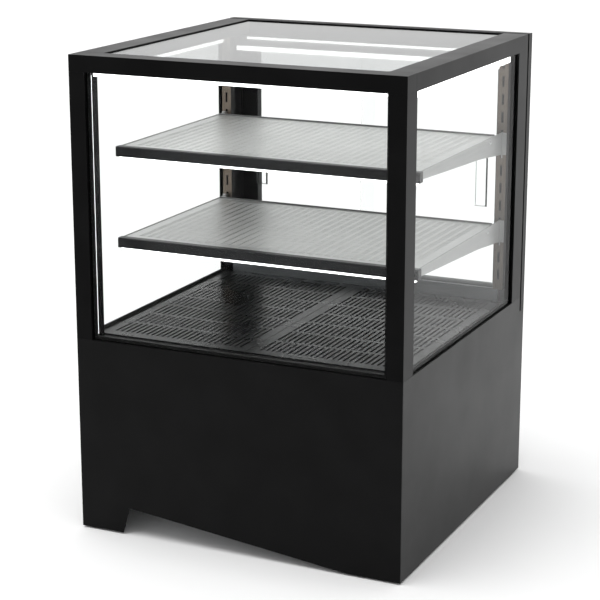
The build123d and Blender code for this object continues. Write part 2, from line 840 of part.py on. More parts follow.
def fan_rotor(tip_radius, hub_radius, hub_height, blades):
    """A hub with tilted blades round it and a blind bore from below, about Z, in the open part."""
    round_bar((0, 0, 0), (0, 0, 1), hub_radius, hub_height)
    span = tip_radius - hub_radius
    for step in range(blades):
        radial = Plane.XY.rotated((0, 0, 360 / blades * step)).offset(hub_height / 2)
        blade_plane = Plane(
            origin=radial.origin,
            x_dir=radial.x_dir,
            z_dir=radial.z_dir.rotate(Axis((0, 0, 0), radial.x_dir), blade_pitch),
        )
        with BuildSketch(blade_plane) as blade_face:
            with Locations((hub_radius - blade_root + span / 2, 0)):
                Rectangle(span, hub_height * blade_chord)
        extrude(blade_face.sketch, amount=blade_thickness / 2, both=True)
    round_bar((0, 0, 0), (0, 0, 1), shaft_radius + shaft_gap, shaft_length, Mode.SUBTRACT)


with BuildPart() as condenser_rotor:
    fan_rotor(fan_radius, *condenser_hub, condenser_blades)
rotor_plane = Plane(origin=(fan_x, motor_front - hub_gap, fan_z), z_dir=(0, -1, 0))
save(rotor_plane.location * condenser_rotor.part, "condenser_fan_blades")

# Evaporator and its fan, in the well
evaporator_x = (-190.0, 90.0)
evaporator_y = (40.0, 96.0)
evaporator_lift = 2.0
evaporator_height = 70.0
evaporator_port_rise = 20.0
evaporator_z = (well_floor + evaporator_lift, well_floor + evaporator_lift + evaporator_height)
evaporator_port_z = evaporator_z[0] + evaporator_port_rise
coil_foot_inset = 20.0
port_length = 6.0
with BuildPart() as evaporator:
    finned_coil(evaporator_x, evaporator_y, evaporator_z, evaporator_fins)
    for x in inset(evaporator_x, coil_foot_inset):
        slab(around(x, sheet / 2), evaporator_y, (well_floor, evaporator_z[0]))
    port_root = (suction_hole[0], evaporator_y[1] - sheet, evaporator_port_z)
    round_bar(port_root, (0, 1, 0), pipe_radius, port_length)
save(evaporator.part, "evaporator")

blower_centre = (170.0, 68.0)
blower_half = 59.5
blower_bore = 56.0
blower_foot = 8.0
blower_depth = 38.0
blower_z = (well_floor + blower_foot, well_floor + blower_foot + blower_depth)
blower_bar_half = 4.0
blower_bar_height = 4.0
blower_bar_root = 1.0
blower_hub = 19.0
blower_hub_height = 6.0
blower_foot_reach = 50.0
blower_foot_radius = 6.0
with BuildPart() as evaporator_fan_frame:
    slab(around(blower_centre[0], blower_half), around(blower_centre[1], blower_half), blower_z)
    round_bar((*blower_centre, blower_z[0]), (0, 0, 1), blower_bore, blower_z[1] - blower_z[0], Mode.SUBTRACT)
    slab(
        around(blower_centre[0], blower_bore + blower_bar_root),
        around(blower_centre[1], blower_bar_half),
        (blower_z[0], blower_z[0] + blower_bar_height),
    )
    round_bar((*blower_centre, blower_z[0]), (0, 0, 1), blower_hub, blower_hub_height)
    round_bar((*blower_centre, blower_z[0] + blower_hub_height), (0, 0, 1), shaft_radius, shaft_length)
    for x in around(blower_centre[0], blower_foot_reach):
        for y in around(blower_centre[1], blower_foot_reach):
            round_bar((x, y, well_floor), (0, 0, 1), blower_foot_radius, blower_z[0] - well_floor)
save(evaporator_fan_frame.part, "evaporator_fan_frame")

rotor_bottom = blower_z[0] + blower_hub_height + hub_gap
rotor_tip_radius = 53.0
rotor_height = 16.0
rotor_blades = 7
with BuildPart() as blower_rotor:
    fan_rotor(rotor_tip_radius, blower_hub, rotor_height, rotor_blades)
save(blower_rotor.part.moved(Location((*blower_centre, rotor_bottom))), "evaporator_fan_blades")

# Copper lines between compressor, condenser and evaporator
pipe_wall = 1.0
bend_radius = 8.0
stub_end = compressor_radius - stub_root + stub_length
suction_z = shell_bottom + suction_height
discharge_z = shell_bottom + discharge_height
suction_stub = (compressor_centre[0] + stub_end, compressor_centre[1], suction_z)
discharge_stub = (compressor_centre[0], compressor_centre[1] - stub_end, discharge_z)
condenser_port = (condenser_x[0] + coil_end - bend_length, sum(condenser_y) / 2, discharge_z)
evaporator_port = (suction_hole[0], evaporator_y[1] - sheet + port_length, evaporator_port_z)
suction_route = (
    suction_stub,
    (suction_hole[0], suction_stub[1], suction_z),
    (*suction_hole, suction_z),
    (*suction_hole, evaporator_port_z),
    evaporator_port,
)
discharge_route = (
    discharge_stub,
    (discharge_stub[0], condenser_port[1], discharge_z),
    condenser_port,
)
with BuildPart() as refrigerant_lines:
    for route in (suction_route, discharge_route):
        with BuildLine() as path:
            FilletPolyline(*route, radius=bend_radius)
        with BuildSketch(Plane(origin=route[0], z_dir=path.line % 0)) as bore:
            Circle(pipe_radius)
            Circle(pipe_radius - pipe_wall, mode=Mode.SUBTRACT)
        sweep(sections=bore.sketch, path=path.line)
save(refrigerant_lines.part, "refrigerant_lines")

# Condensate tray under the drain
tray_x = (120.0, 270.0)
tray_y = (-120.0, 0.0)
tray_height = 36.0
tray_z = (pan_top, pan_top + tray_height)
with BuildPart() as condensate_tray:
    slab(tray_x, tray_y, tray_z)
    slab(inset(tray_x, sheet), inset(tray_y, sheet), (tray_z[0] + sheet, tray_z[1]), Mode.SUBTRACT)
save(condensate_tray.part, "condensate_tray")

# Temperature controller with a display window and three keys
bezel = 3.0
bezel_back = rear_panel_back + bezel
body_clearance = 0.5
body_inset = face_lap + body_clearance
controller_depth = 45.0
window_inset = (6.0, 32.0, 8.0)
window_depth = 0.8
key_x = (164.0, 173.0, 182.0)
key_radius = 3.6
key_clearance = 0.35
key_travel = 1.2
key_pocket = 4.0
key_floor = rear_panel_back - key_pocket
key_gap = 0.4
key_proud = 0.9
controller_x = around(controller_centre[0], controller_face[0] / 2)
controller_z = around(controller_centre[1], controller_face[1] / 2)
with BuildPart() as controller:
    slab(controller_x, (rear_panel_back, bezel_back), controller_z)
    slab(
        inset(controller_x, body_inset),
        (rear_panel_back - controller_depth, rear_panel_back),
        inset(controller_z, body_inset),
    )
    slab(
        (controller_x[0] + window_inset[0], controller_x[1] - window_inset[1]),
        (bezel_back - window_depth, bezel_back),
        inset(controller_z, window_inset[2]),
        Mode.SUBTRACT,
    )
    for x in key_x:
        round_bar(
            (x, key_floor, controller_centre[1]),
            (0, 1, 0),
            key_radius + key_clearance,
            bezel_back - key_floor,
            Mode.SUBTRACT,
        )
save(controller.part, "controller")

key_inner = key_floor + key_travel + key_gap
key_length = bezel_back + key_proud - key_inner
for x, label in zip(key_x, ("set_key", "down_key", "up_key")):
    with BuildPart() as key:
        round_bar((x, key_inner, controller_centre[1]), (0, 1, 0), key_radius, key_length)
    save(key.part, label)

# Mains inlet with three pins, and the rocker switch beside it
inlet_depth = 26.0
socket_offset = 14.0
socket_x = inlet_centre[0] - socket_offset
socket_half = (12.2, 8.0)
socket_depth = 14.0
socket_floor = rear_panel_back - socket_depth
pin_half = (1.0, 2.0)
pin_spots = ((-7.0, -2.0), (0.0, 2.0), (7.0, -2.0))
rocker_offset = 18.0
rocker_x = inlet_centre[0] + rocker_offset
rocker_half_width = 8.0
rocker_half_height = 10.5
rocker_room = 0.6
rocker_depth = 10.0
rocker_floor = rear_panel_back - rocker_depth
pivot_depth = 1.0
rocker_pivot_y = rear_panel_back - pivot_depth
trunnion_radius = 2.0
trunnion_gap = 0.05
trunnion_length = 1.4
trunnion_half = rocker_half_width + trunnion_length
inlet_x = around(inlet_centre[0], inlet_face[0] / 2)
inlet_z = around(inlet_centre[1], inlet_face[1] / 2)
with BuildPart() as mains_inlet:
    slab(inlet_x, (rear_panel_back, bezel_back), inlet_z)
    slab(
        inset(inlet_x, body_inset),
        (rear_panel_back - inlet_depth, rear_panel_back),
        inset(inlet_z, body_inset),
    )
    slab(
        around(socket_x, socket_half[0]),
        (socket_floor, bezel_back),
        around(inlet_centre[1], socket_half[1]),
        Mode.SUBTRACT,
    )
    for pin_x, pin_z in pin_spots:
        slab(
            around(socket_x + pin_x, pin_half[0]),
            (socket_floor, rear_panel_back),
            around(inlet_centre[1] + pin_z, pin_half[1]),
        )
    slab(
        around(rocker_x, rocker_half_width + rocker_room),
        (rocker_floor, bezel_back),
        around(inlet_centre[1], rocker_half_height + rocker_room),
        Mode.SUBTRACT,
    )
    round_bar(
        (rocker_x - trunnion_half - trunnion_gap, rocker_pivot_y, inlet_centre[1]),
        (1, 0, 0),
        trunnion_radius + trunnion_gap,
        2 * (trunnion_half + trunnion_gap),
        Mode.SUBTRACT,
    )
save(mains_inlet.part, "mains_inlet")

rocker_tilt = 8.0
rocker_tip = (4.6, 9.6)
rocker_root = (-4.0, 5.0)
rocker_hollow = 3.2
with BuildPart() as rocker:
    with BuildSketch(Plane.YZ.offset(-rocker_half_width)) as rocker_profile:
        with BuildLine():
            Polyline(
                (rocker_root[0], -rocker_root[1]),
                (rocker_tip[0], -rocker_tip[1]),
                (rocker_hollow, 0),
                rocker_tip,
                rocker_root,
                close=True,
            )
        make_face()
    extrude(rocker_profile.sketch, amount=2 * rocker_half_width)
    round_bar((-trunnion_half, 0, 0), (1, 0, 0), trunnion_radius, 2 * trunnion_half)
rocker_place = Location((rocker_x, rocker_pivot_y, inlet_centre[1]), (rocker_tilt, 0, 0))
save(rocker.part.moved(rocker_place), "power_rocker")
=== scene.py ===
"""Finishes for a refrigerated display case, laid out as an add-on and run as a script.

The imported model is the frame: metres, +Z up, the case's front faces -Y.
Each operator dresses one group of pieces, and the last one builds the stage.
"""

import json
import math

import bmesh
import bpy
from bpy.props import FloatProperty, FloatVectorProperty, PointerProperty
from mathutils import Matrix, Vector


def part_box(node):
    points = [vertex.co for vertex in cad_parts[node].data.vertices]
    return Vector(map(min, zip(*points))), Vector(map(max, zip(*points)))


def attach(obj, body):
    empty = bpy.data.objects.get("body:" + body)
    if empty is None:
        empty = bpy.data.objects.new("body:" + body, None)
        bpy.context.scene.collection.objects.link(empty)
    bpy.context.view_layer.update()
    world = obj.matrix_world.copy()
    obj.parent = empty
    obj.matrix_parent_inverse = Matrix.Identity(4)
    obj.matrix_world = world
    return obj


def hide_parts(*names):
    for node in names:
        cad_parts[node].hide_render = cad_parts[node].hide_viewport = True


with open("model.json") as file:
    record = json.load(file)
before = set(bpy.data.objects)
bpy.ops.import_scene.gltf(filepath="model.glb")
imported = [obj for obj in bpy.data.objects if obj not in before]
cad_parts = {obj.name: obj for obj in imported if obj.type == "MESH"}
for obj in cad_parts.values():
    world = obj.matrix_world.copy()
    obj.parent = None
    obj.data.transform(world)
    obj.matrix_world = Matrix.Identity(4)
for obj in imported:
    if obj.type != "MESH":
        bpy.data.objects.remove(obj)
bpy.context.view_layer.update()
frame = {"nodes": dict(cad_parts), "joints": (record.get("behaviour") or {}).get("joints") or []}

bl_info = {
    "name": "Refrigerated display case",
    "version": (1, 0, 0),
    "blender": (4, 5, 0),
    "location": "3D View > Sidebar > Display case",
    "description": "Finishes and small pieces of a refrigerated display case with glass on all sides",
    "category": "Object",
}

MM = 0.001
PHOTO_SIZE = 600

# Colours that the sidebar leaves alone
ZINC_SHEET = (0.42, 0.43, 0.44)
ZINC_SCREW = (0.6, 0.6, 0.6)
WELL_LINER = (0.02, 0.02, 0.021)
RIVET_STEEL = (0.62, 0.62, 0.62)
# Painted shade: the rear lip of a shelf is the shelf's own steel, given this dark colour
PAINTED_SHADE_LIP = (0.16, 0.16, 0.16)
BLACK_PLASTIC = (0.012, 0.012, 0.0125)
KEY_GREY = (0.16, 0.16, 0.165)
KEY_MARK = (0.7, 0.7, 0.7)
BLACK_ENAMEL = (0.008, 0.008, 0.008)
SMOKED_DARK = (0.004, 0.001, 0.001, 1.0)
SMOKED_LIGHT = (0.007, 0.002, 0.002, 1.0)
PANE_SHADOW = (0.95, 0.96, 0.955, 1.0)
TRACK_SHADE = 0.25
# Painted shade for the inside of the uprights' channels
CHANNEL_SHADE = 0.004

# Refractive index of each clear piece, low for a coated or thin one
SIDE_INDEX = 1.1
TOP_INDEX = 1.34
PULL_INDEX = 1.03

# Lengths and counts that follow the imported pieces
SHELF_SHEET = 1.5 * MM
SHELF_LIP_RISE = 3.0 * MM
RIVET_OUT = 275.0 * MM
RIVET_BACK = 149.0 * MM
RIVET_DROP = 8.0 * MM
UPRIGHT_FACE = 0.4 * MM
LOUVRE_COLUMNS = 4
LOUVRE_ROWS = 13
LOUVRE_SPACING = 102.0 * MM
LOUVRE_PITCH = 12.0 * MM
HOOD_LENGTH = 82.0 * MM
HOOD_SHEET = 0.6 * MM
HOOD_SUNK = 0.1 * MM
WINDOW_LEFT = 6.6 * MM
WINDOW_RIGHT = 32.6 * MM
WINDOW_ABOVE = 8.6 * MM
WINDOW_FACE = 0.3 * MM
WINDOW_BACK = 0.8 * MM
KEY_MARK_SIZE = 1.5 * MM
KEY_MARK_DEPTH = 0.15 * MM
KEY_MARK_SUNK = 0.05 * MM
CONDENSER_BLADES = 5
CONDENSER_HUB = 20.0 * MM
EVAPORATOR_BLADES = 7
EVAPORATOR_HUB = 19.0 * MM
COIL_END = 10.0 * MM
COIL_FOOT = 2.0 * MM
END_PLATE = 1.2 * MM
FOOT_INSET = 10.0 * MM
FOOT_HALF = 1.0 * MM
TUBE_ROWS = 4
TUBE_RADIUS = 4.0 * MM
BEND_REACH = 5.5 * MM
BEND_STEPS = 12
BLADE_ROOT = 1.0 * MM
BLADE_SHEET = 1.6 * MM
BLADE_LINES = 8
BLADE_STEPS = 10
SHAFT_BORE = 3.05 * MM
SHAFT_DEPTH = 10.0 * MM

# How far a screw head's rim lies under its top, as a share of its radius
SCREW_RIM = 0.35

# Reach of a fan blade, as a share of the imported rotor's
TIP_SHARE = 0.985

# Radii of the small edges
RAIL_EDGE = 0.3 * MM
TRIM_EDGE = 0.4 * MM
CONTROL_EDGE = 0.25 * MM
KEY_EDGE = 0.3 * MM
WINDOW_EDGE = 0.15 * MM
TRAY_EDGE = 0.5 * MM
SHELL_EDGE = 0.8 * MM
MOUNT_EDGE = 1.0 * MM

# The key light: its spread in degrees and the way it shines
LAMP_ANGLE = 50.0
LAMP_AIM = (0.12, 0.12, -1.0)


def colour_setting(name, description, default):
    """A colour that the sidebar shows."""
    return FloatVectorProperty(
        name=name, description=description, default=default, size=3, min=0.0, max=1.0, subtype="COLOR"
    )


def length_setting(name, description, default):
    """A length that the sidebar shows, in the scene's unit."""
    return FloatProperty(
        name=name, description=description, default=default, min=0.0, unit="LENGTH", subtype="DISTANCE"
    )


class CaseColours(bpy.types.PropertyGroup):
    """Colours of the case's finishes."""

    coat: colour_setting("Powder coat", "Satin black of the base and the frame", (0.0036, 0.0036, 0.0037))
    deck: colour_setting("Floor grille", "Dark satin coat of the floor grille", (0.006, 0.0064, 0.0068))
    upstand: colour_setting("Rear sill", "Grey of the sill under the doors", (0.22, 0.23, 0.24))
    trim: colour_setting("Shelf trim", "Dark anodised trim on the shelf fronts", (0.009, 0.0092, 0.0105))
    shelf: colour_setting("Shelf steel", "Light grey of the shelves", (0.78, 0.78, 0.775))
    bracket: colour_setting("Bracket steel", "Grey of the shelf brackets", (0.46, 0.46, 0.46))
    upright: colour_setting("Upright steel", "Warm grey of the slotted uprights", (0.17, 0.14, 0.115))
    aluminium: colour_setting("Aluminium", "Satin aluminium of the door rails", (0.55, 0.55, 0.56))
    glass: colour_setting("Upright glass", "Tint of the upright panes", (0.945, 0.955, 0.95))
    top_glass: colour_setting("Top glass", "Tint of the top pane", (0.5, 0.52, 0.515))
    pull: colour_setting("Pulls", "Tint of the clear moulded pulls", (0.95, 0.97, 0.97))
    light: colour_setting("Light strips", "Colour of the lit diffusers", (1.0, 0.995, 0.985))
    rubber: colour_setting("Rubber", "Black of pads and seals", (0.012, 0.012, 0.012))
    copper: colour_setting("Copper", "Bare copper of the pipes", (0.72, 0.36, 0.22))
    fins: colour_setting("Fins", "Bare aluminium of the cooling fins", (0.68, 0.69, 0.7))


class CaseSizes(bpy.types.PropertyGroup):
    """Sizes of the small pieces and edges that the finishes add."""

    edge: length_setting("Edge radius", "Radius on the edges of the sheet and bar pieces", 0.3 * MM)
    pane_edge: length_setting("Pane edge", "Ground edge of the glass", 0.5 * MM)
    hole_length: length_setting("Hole length", "Length of a hole in a shelf", 12.0 * MM)
    hole_width: length_setting("Hole width", "Width of a hole in a shelf", 3.2 * MM)
    hole_pitch_x: length_setting("Hole pitch across", "Spacing of the holes from left to right", 16.0 * MM)
    hole_pitch_y: length_setting("Hole pitch deep", "Spacing of the holes from front to back", 7.0 * MM)
    shelf_margin: length_setting("Shelf margin", "Plain border round the holes of a shelf", 16.0 * MM)
    rivet_radius: length_setting("Rivet radius", "Radius of the bracket rivets", 3.0 * MM)
    fin_pitch: length_setting("Fin pitch", "Spacing of the cooling fins", 3.0 * MM)
    fin_thickness: length_setting("Fin thickness", "Thickness of a cooling fin", 0.3 * MM)
    hood_depth: length_setting("Louvre depth", "How far the louvre hoods stand out", 3.0 * MM)
    screw_head: length_setting("Screw head", "Radius of the grille screw heads", 4.0 * MM)


class CaseStage(bpy.types.PropertyGroup):
    """Light and camera of the studio."""

    floor: colour_setting("Floor", "Colour of the floor", (0.93, 0.93, 0.93))
    low_sky: FloatProperty(
        name="Light from the sides", description="Strength of the white light near the horizon", default=1.0
    )
    high_sky: FloatProperty(
        name="Light from above", description="Strength of the white light overhead", default=0.6
    )
    key: FloatProperty(name="Key light", description="Strength of the soft light from above", default=2.0)
    strip: FloatProperty(name="Strip light", description="Strength of the lit diffusers", default=3.0)
    azimuth: FloatProperty(
        name="Azimuth", description="Turn of the camera round the case", default=math.radians(25.0159),
        unit="ROTATION", subtype="ANGLE",
    )
    elevation: FloatProperty(
        name="Elevation", description="Angle of the camera above the horizon", default=math.radians(15.0771),
        unit="ROTATION", subtype="ANGLE",
    )
    place: FloatVectorProperty(
        name="Camera place", description="Where the camera stands", default=(1.33376, -2.90013, 1.2332),
        size=3, unit="LENGTH", subtype="TRANSLATION",
    )
    focal: FloatProperty(name="Focal length", description="Lens of the camera in pixels", default=1856.99)


def colours():
    """The finish colours set in the sidebar."""
    return bpy.context.scene.case_colours


def sizes():
    """The sizes set in the sidebar."""
    return bpy.context.scene.case_sizes


def stage_settings():
    """The light and camera set in the sidebar."""
    return bpy.context.scene.case_stage


# Finishes


def shade_of(colour, factor):
    """A colour made darker or lighter, with alpha."""
    return (*(min(1.0, part * factor) for part in colour), 1.0)


def new_finish(name):
    """A new material, its node tree and its shader."""
    finish = bpy.data.materials.new(name)
    finish.use_nodes = True
    tree = finish.node_tree
    tree.nodes.clear()
    output = tree.nodes.new("ShaderNodeOutputMaterial")
    shader = tree.nodes.new("ShaderNodeBsdfPrincipled")
    tree.links.new(shader.outputs["BSDF"], output.inputs["Surface"])
    return finish, tree, shader


def speckle(tree, scale, stretch=(1.0, 1.0, 1.0), detail=3.0):
    """A noise fixed to the piece, drawn out along an axis by a small stretch value there."""
    place = tree.nodes.new("ShaderNodeTexCoord")
    mapping = tree.nodes.new("ShaderNodeMapping")
    mapping.inputs["Scale"].default_value = stretch
    noise = tree.nodes.new("ShaderNodeTexNoise")
    noise.inputs["Scale"].default_value = scale
    noise.inputs["Detail"].default_value = detail
    tree.links.new(place.outputs["Object"], mapping.inputs["Vector"])
    tree.links.new(mapping.outputs["Vector"], noise.inputs["Vector"])
    return noise.outputs["Fac"]


def vary_colour(tree, shader, factor, dark, light, spread=(0.3, 0.7)):
    """Lets the base colour wander between two shades."""
    ramp = tree.nodes.new("ShaderNodeValToRGB")
    ramp.color_ramp.elements[0].position = spread[0]
    ramp.color_ramp.elements[1].position = spread[1]
    ramp.color_ramp.elements[0].color = dark
    ramp.color_ramp.elements[1].color = light
    tree.links.new(factor, ramp.inputs["Fac"])
    tree.links.new(ramp.outputs["Color"], shader.inputs["Base Color"])


def vary_roughness(tree, shader, factor, low, high):
    """Lets the roughness wander between two values."""
    remap = tree.nodes.new("ShaderNodeMapRange")
    remap.inputs["From Min"].default_value = 0.3
    remap.inputs["From Max"].default_value = 0.7
    remap.inputs["To Min"].default_value = low
    remap.inputs["To Max"].default_value = high
    tree.links.new(factor, remap.inputs["Value"])
    tree.links.new(remap.outputs["Result"], shader.inputs["Roughness"])


def add_relief(tree, shader, factor, height, strength):
    """A fine relief on the surface."""
    bump = tree.nodes.new("ShaderNodeBump")
    bump.inputs["Distance"].default_value = height
    bump.inputs["Strength"].default_value = strength
    tree.links.new(factor, bump.inputs["Height"])
    tree.links.new(bump.outputs["Normal"], shader.inputs["Normal"])


def powder_coat(name, colour, facing=0.3, roughness=(0.3, 0.37), gloss=0.5):
    """Baked powder coat: near-black with an orange-peel skin and faint handling marks.

    Gloss is the strength of its reflection, and facing the share of it that shows square on.
    """
    finish, tree, shader = new_finish(name)
    shader.inputs["Specular IOR Level"].default_value = gloss
    shader.inputs["Specular Tint"].default_value = (facing, facing, facing, 1.0)
    vary_colour(tree, shader, speckle(tree, scale=14.0), shade_of(colour, 0.8), shade_of(colour, 1.25))
    vary_roughness(tree, shader, speckle(tree, scale=9.0, detail=5.0), *roughness)
    add_relief(tree, shader, speckle(tree, scale=620.0, detail=1.0), height=0.02 * MM, strength=0.35)
    return finish


def drawn_metal(name, colour, along, roughness, relief=0.35, grain=900.0):
    """Metal with a fine grain along one axis."""
    finish, tree, shader = new_finish(name)
    shader.inputs["Metallic"].default_value = 1.0
    grain_stretch = 0.02
    stretch = [1.0, 1.0, 1.0]
    stretch["XYZ".index(along)] = grain_stretch
    streaks = speckle(tree, grain, stretch, detail=2.0)
    vary_colour(tree, shader, streaks, shade_of(colour, 0.86), shade_of(colour, 1.12))
    vary_roughness(tree, shader, streaks, *roughness)
    add_relief(tree, shader, streaks, height=0.02 * MM, strength=relief)
    return finish


def paint_shade_behind(finish, plane_y, share):
    """Darkens the base colour past a plane across the Y axis: painted shade, as inside an open channel."""
    tree = finish.node_tree
    shader = tree.nodes["Principled BSDF"]
    face = shader.inputs["Base Color"].links[0].from_socket
    place = tree.nodes.new("ShaderNodeTexCoord")
    axes = tree.nodes.new("ShaderNodeSeparateXYZ")
    inside = tree.nodes.new("ShaderNodeMath")
    inside.operation = "GREATER_THAN"
    inside.inputs[1].default_value = plane_y
    mix = tree.nodes.new("ShaderNodeMix")
    mix.data_type = "RGBA"
    mix.inputs["B"].default_value = (share, share, share, 1.0)
    tree.links.new(place.outputs["Object"], axes.inputs["Vector"])
    tree.links.new(axes.outputs["Y"], inside.inputs[0])
    tree.links.new(inside.outputs["Value"], mix.inputs["Factor"])
    tree.links.new(face, mix.inputs["A"])
    tree.links.new(mix.outputs["Result"], shader.inputs["Base Color"])


def spangled_zinc(name, colour):
    """Galvanised sheet with a frosty spangle."""
    finish, tree, shader = new_finish(name)
    shader.inputs["Metallic"].default_value = 0.9
    place = tree.nodes.new("ShaderNodeTexCoord")
    crystals = tree.nodes.new("ShaderNodeTexVoronoi")
    crystals.inputs["Scale"].default_value = 110.0
    tree.links.new(place.outputs["Object"], crystals.inputs["Vector"])
    tone = tree.nodes.new("ShaderNodeSeparateColor")
    tree.links.new(crystals.outputs["Color"], tone.inputs["Color"])
    dark, light = shade_of(colour, 0.75), shade_of(colour, 1.2)
    vary_colour(tree, shader, tone.outputs["Red"], dark, light, spread=(0.0, 1.0))
    vary_roughness(tree, shader, tone.outputs["Green"], low=0.35, high=0.55)
    add_relief(tree, shader, speckle(tree, scale=500.0), height=0.01 * MM, strength=0.3)
    return finish


def moulded(name, colour, roughness=(0.42, 0.52), grain=1100.0, relief=0.5):
    """Moulded plastic or rubber with a fine skin texture."""
    finish, tree, shader = new_finish(name)
    shader.inputs["Specular IOR Level"].default_value = 0.35
    vary_colour(tree, shader, speckle(tree, scale=30.0), shade_of(colour, 0.85), shade_of(colour, 1.2))
    vary_roughness(tree, shader, speckle(tree, scale=60.0), *roughness)
    add_relief(tree, shader, speckle(tree, grain, detail=1.0), height=0.03 * MM, strength=relief)
    return finish


def let_light_through(tree, shader):
    """Shadow and bounce rays pass the pane, so that the light reaches what is behind it."""
    surface = shader.outputs["BSDF"].links[0].to_socket
    clear = tree.nodes.new("ShaderNodeBsdfTransparent")
    clear.inputs["Color"].default_value = PANE_SHADOW
    path = tree.nodes.new("ShaderNodeLightPath")
    either = tree.nodes.new("ShaderNodeMath")
    either.operation = "MAXIMUM"
    mix = tree.nodes.new("ShaderNodeMixShader")
    tree.links.new(path.outputs["Is Shadow Ray"], either.inputs[0])
    tree.links.new(path.outputs["Is Diffuse Ray"], either.inputs[1])
    tree.links.new(either.outputs["Value"], mix.inputs["Fac"])
    tree.links.new(shader.outputs["BSDF"], mix.inputs[1])
    tree.links.new(clear.outputs["BSDF"], mix.inputs[2])
    tree.links.new(mix.outputs["Shader"], surface)


def clear_pane(name, colour, index):
    """A clear pane with the faintest smear on it. Index is its refractive index."""
    finish, tree, shader = new_finish(name)
    shader.inputs["Transmission Weight"].default_value = 1.0
    shader.inputs["IOR"].default_value = index
    vary_colour(tree, shader, speckle(tree, scale=6.0), shade_of(colour, 0.995), shade_of(colour, 1.0))
    smears = speckle(tree, scale=18.0, stretch=(1.0, 1.0, 0.3), detail=4.0)
    vary_roughness(tree, shader, smears, low=0.0, high=0.012)
    let_light_through(tree, shader)
    return finish


def lit_diffuser(name, colour, strength):
    """Frosted cover of a light strip, lit from behind and slightly uneven."""
    finish, tree, shader = new_finish(name)
    cells = speckle(tree, scale=60.0, detail=1.0)
    vary_colour(tree, shader, cells, shade_of(colour, 0.9), shade_of(colour, 0.95))
    vary_roughness(tree, shader, cells, low=0.45, high=0.6)
    shader.inputs["Emission Color"].default_value = shade_of(colour, 1.0)
    shader.inputs["Emission Strength"].default_value = strength
    return finish


def dark_glass(name):
    """Smoked window over a display that is off."""
    finish, tree, shader = new_finish(name)
    shader.inputs["Specular IOR Level"].default_value = 0.5
    vary_colour(tree, shader, speckle(tree, scale=20.0), SMOKED_DARK, SMOKED_LIGHT)
    vary_roughness(tree, shader, speckle(tree, scale=80.0), low=0.03, high=0.07)
    add_relief(tree, shader, speckle(tree, scale=300.0), height=0.002 * MM, strength=0.2)
    return finish


# Shapes


def soften(piece, radius):
    """Small radius on the sharp edges, on top of the piece's own mesh."""
    weld = piece.modifiers.new("joined corners", "WELD")
    weld.merge_threshold = 0.01 * MM
    flat = piece.modifiers.new("flat faces", "DECIMATE")
    flat.decimate_type = "DISSOLVE"
    flat.angle_limit = math.radians(1.0)
    edge = piece.modifiers.new("edge radius", "BEVEL")
    edge.width = radius
    edge.segments = 2
    edge.limit_method = "ANGLE"
    edge.angle_limit = math.radians(35.0)
    edge.harden_normals = True


def dress(nodes, finish, radius=None):
    """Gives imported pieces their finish, and their edges a small radius."""
    for name in nodes:
        piece = frame["nodes"][name]
        piece.data.materials.clear()
        piece.data.materials.append(finish)
        if radius is not None:
            soften(piece, radius)


def new_piece(name, mesh, finish, body, smooth=False):
    """A piece from a finished bmesh, riding on a body of the frame."""
    bmesh.ops.recalc_face_normals(mesh, faces=mesh.faces)
    data = bpy.data.meshes.new(name)
    mesh.to_mesh(data)
    mesh.free()
    data.materials.append(finish)
    if smooth:
        data.shade_smooth()
    piece = bpy.data.objects.new(name, data)
    bpy.context.scene.collection.objects.link(piece)
    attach(piece, body)
    return piece


def block(mesh, low, high):
    """A block between two corners."""
    corners = [
        mesh.verts.new((x, y, z))
        for z in (low[2], high[2]) for y in (low[1], high[1]) for x in (low[0], high[0])
    ]
    for face in ((0, 2, 3, 1), (4, 5, 7, 6), (0, 1, 5, 4), (2, 6, 7, 3), (0, 4, 6, 2), (1, 3, 7, 5)):
        mesh.faces.new([corners[i] for i in face])


def on_circle(radius, turn, height=0.0):
    """A point at a turn about the Z axis."""
    return Vector((radius * math.cos(turn), radius * math.sin(turn), height))


def turned(mesh, profile, place, sides):
    """A shape turned about its Z axis from (radius, height) points, then put in place."""
    rings = []
    for radius, height in profile:
        if radius == 0.0:
            rings.append([mesh.verts.new(place @ Vector((0.0, 0.0, height)))])
            continue
        rings.append([
            mesh.verts.new(place @ on_circle(radius, math.tau * step / sides, height))
            for step in range(sides)
        ])
    for lower, upper in zip(rings, rings[1:]):
        for step in range(sides):
            after = (step + 1) % sides
            corners = [
                lower[step % len(lower)], lower[after % len(lower)],
                upper[after % len(upper)], upper[step % len(upper)],
            ]
            mesh.faces.new(list(dict.fromkeys(corners)))


def tube(mesh, points, radius):
    """A round tube along a line of points, closed at both ends."""
    sides = 14
    points = [Vector(point) for point in points]
    side = None
    rings = []
    for index, point in enumerate(points):
        ahead = (points[min(index + 1, len(points) - 1)] - points[max(index - 1, 0)]).normalized()
        if side is None:
            side = ahead.orthogonal().normalized()
        side = (side - ahead * side.dot(ahead)).normalized()
        other = ahead.cross(side)
        rings.append([
            mesh.verts.new(point + radius * (math.cos(turn) * side + math.sin(turn) * other))
            for turn in (math.tau * step / sides for step in range(sides))
        ])
    for lower, upper in zip(rings, rings[1:]):
        for step in range(sides):
            after = (step + 1) % sides
            mesh.faces.new((lower[step], lower[after], upper[after], upper[step]))
    mesh.faces.new(rings[0])
    mesh.faces.new(rings[-1])


def prism(mesh, outline, thickness, place):
    """A flat shape with a thickness, drawn in its own XY plane and then put in place."""
    lower = [mesh.verts.new(place @ Vector((x, y, 0.0))) for x, y in outline]
    upper = [mesh.verts.new(place @ Vector((x, y, thickness))) for x, y in outline]
    mesh.faces.new(lower)
    mesh.faces.new(upper)
    for index in range(len(outline)):
        after = (index + 1) % len(outline)
        mesh.faces.new((lower[index], lower[after], upper[after], upper[index]))


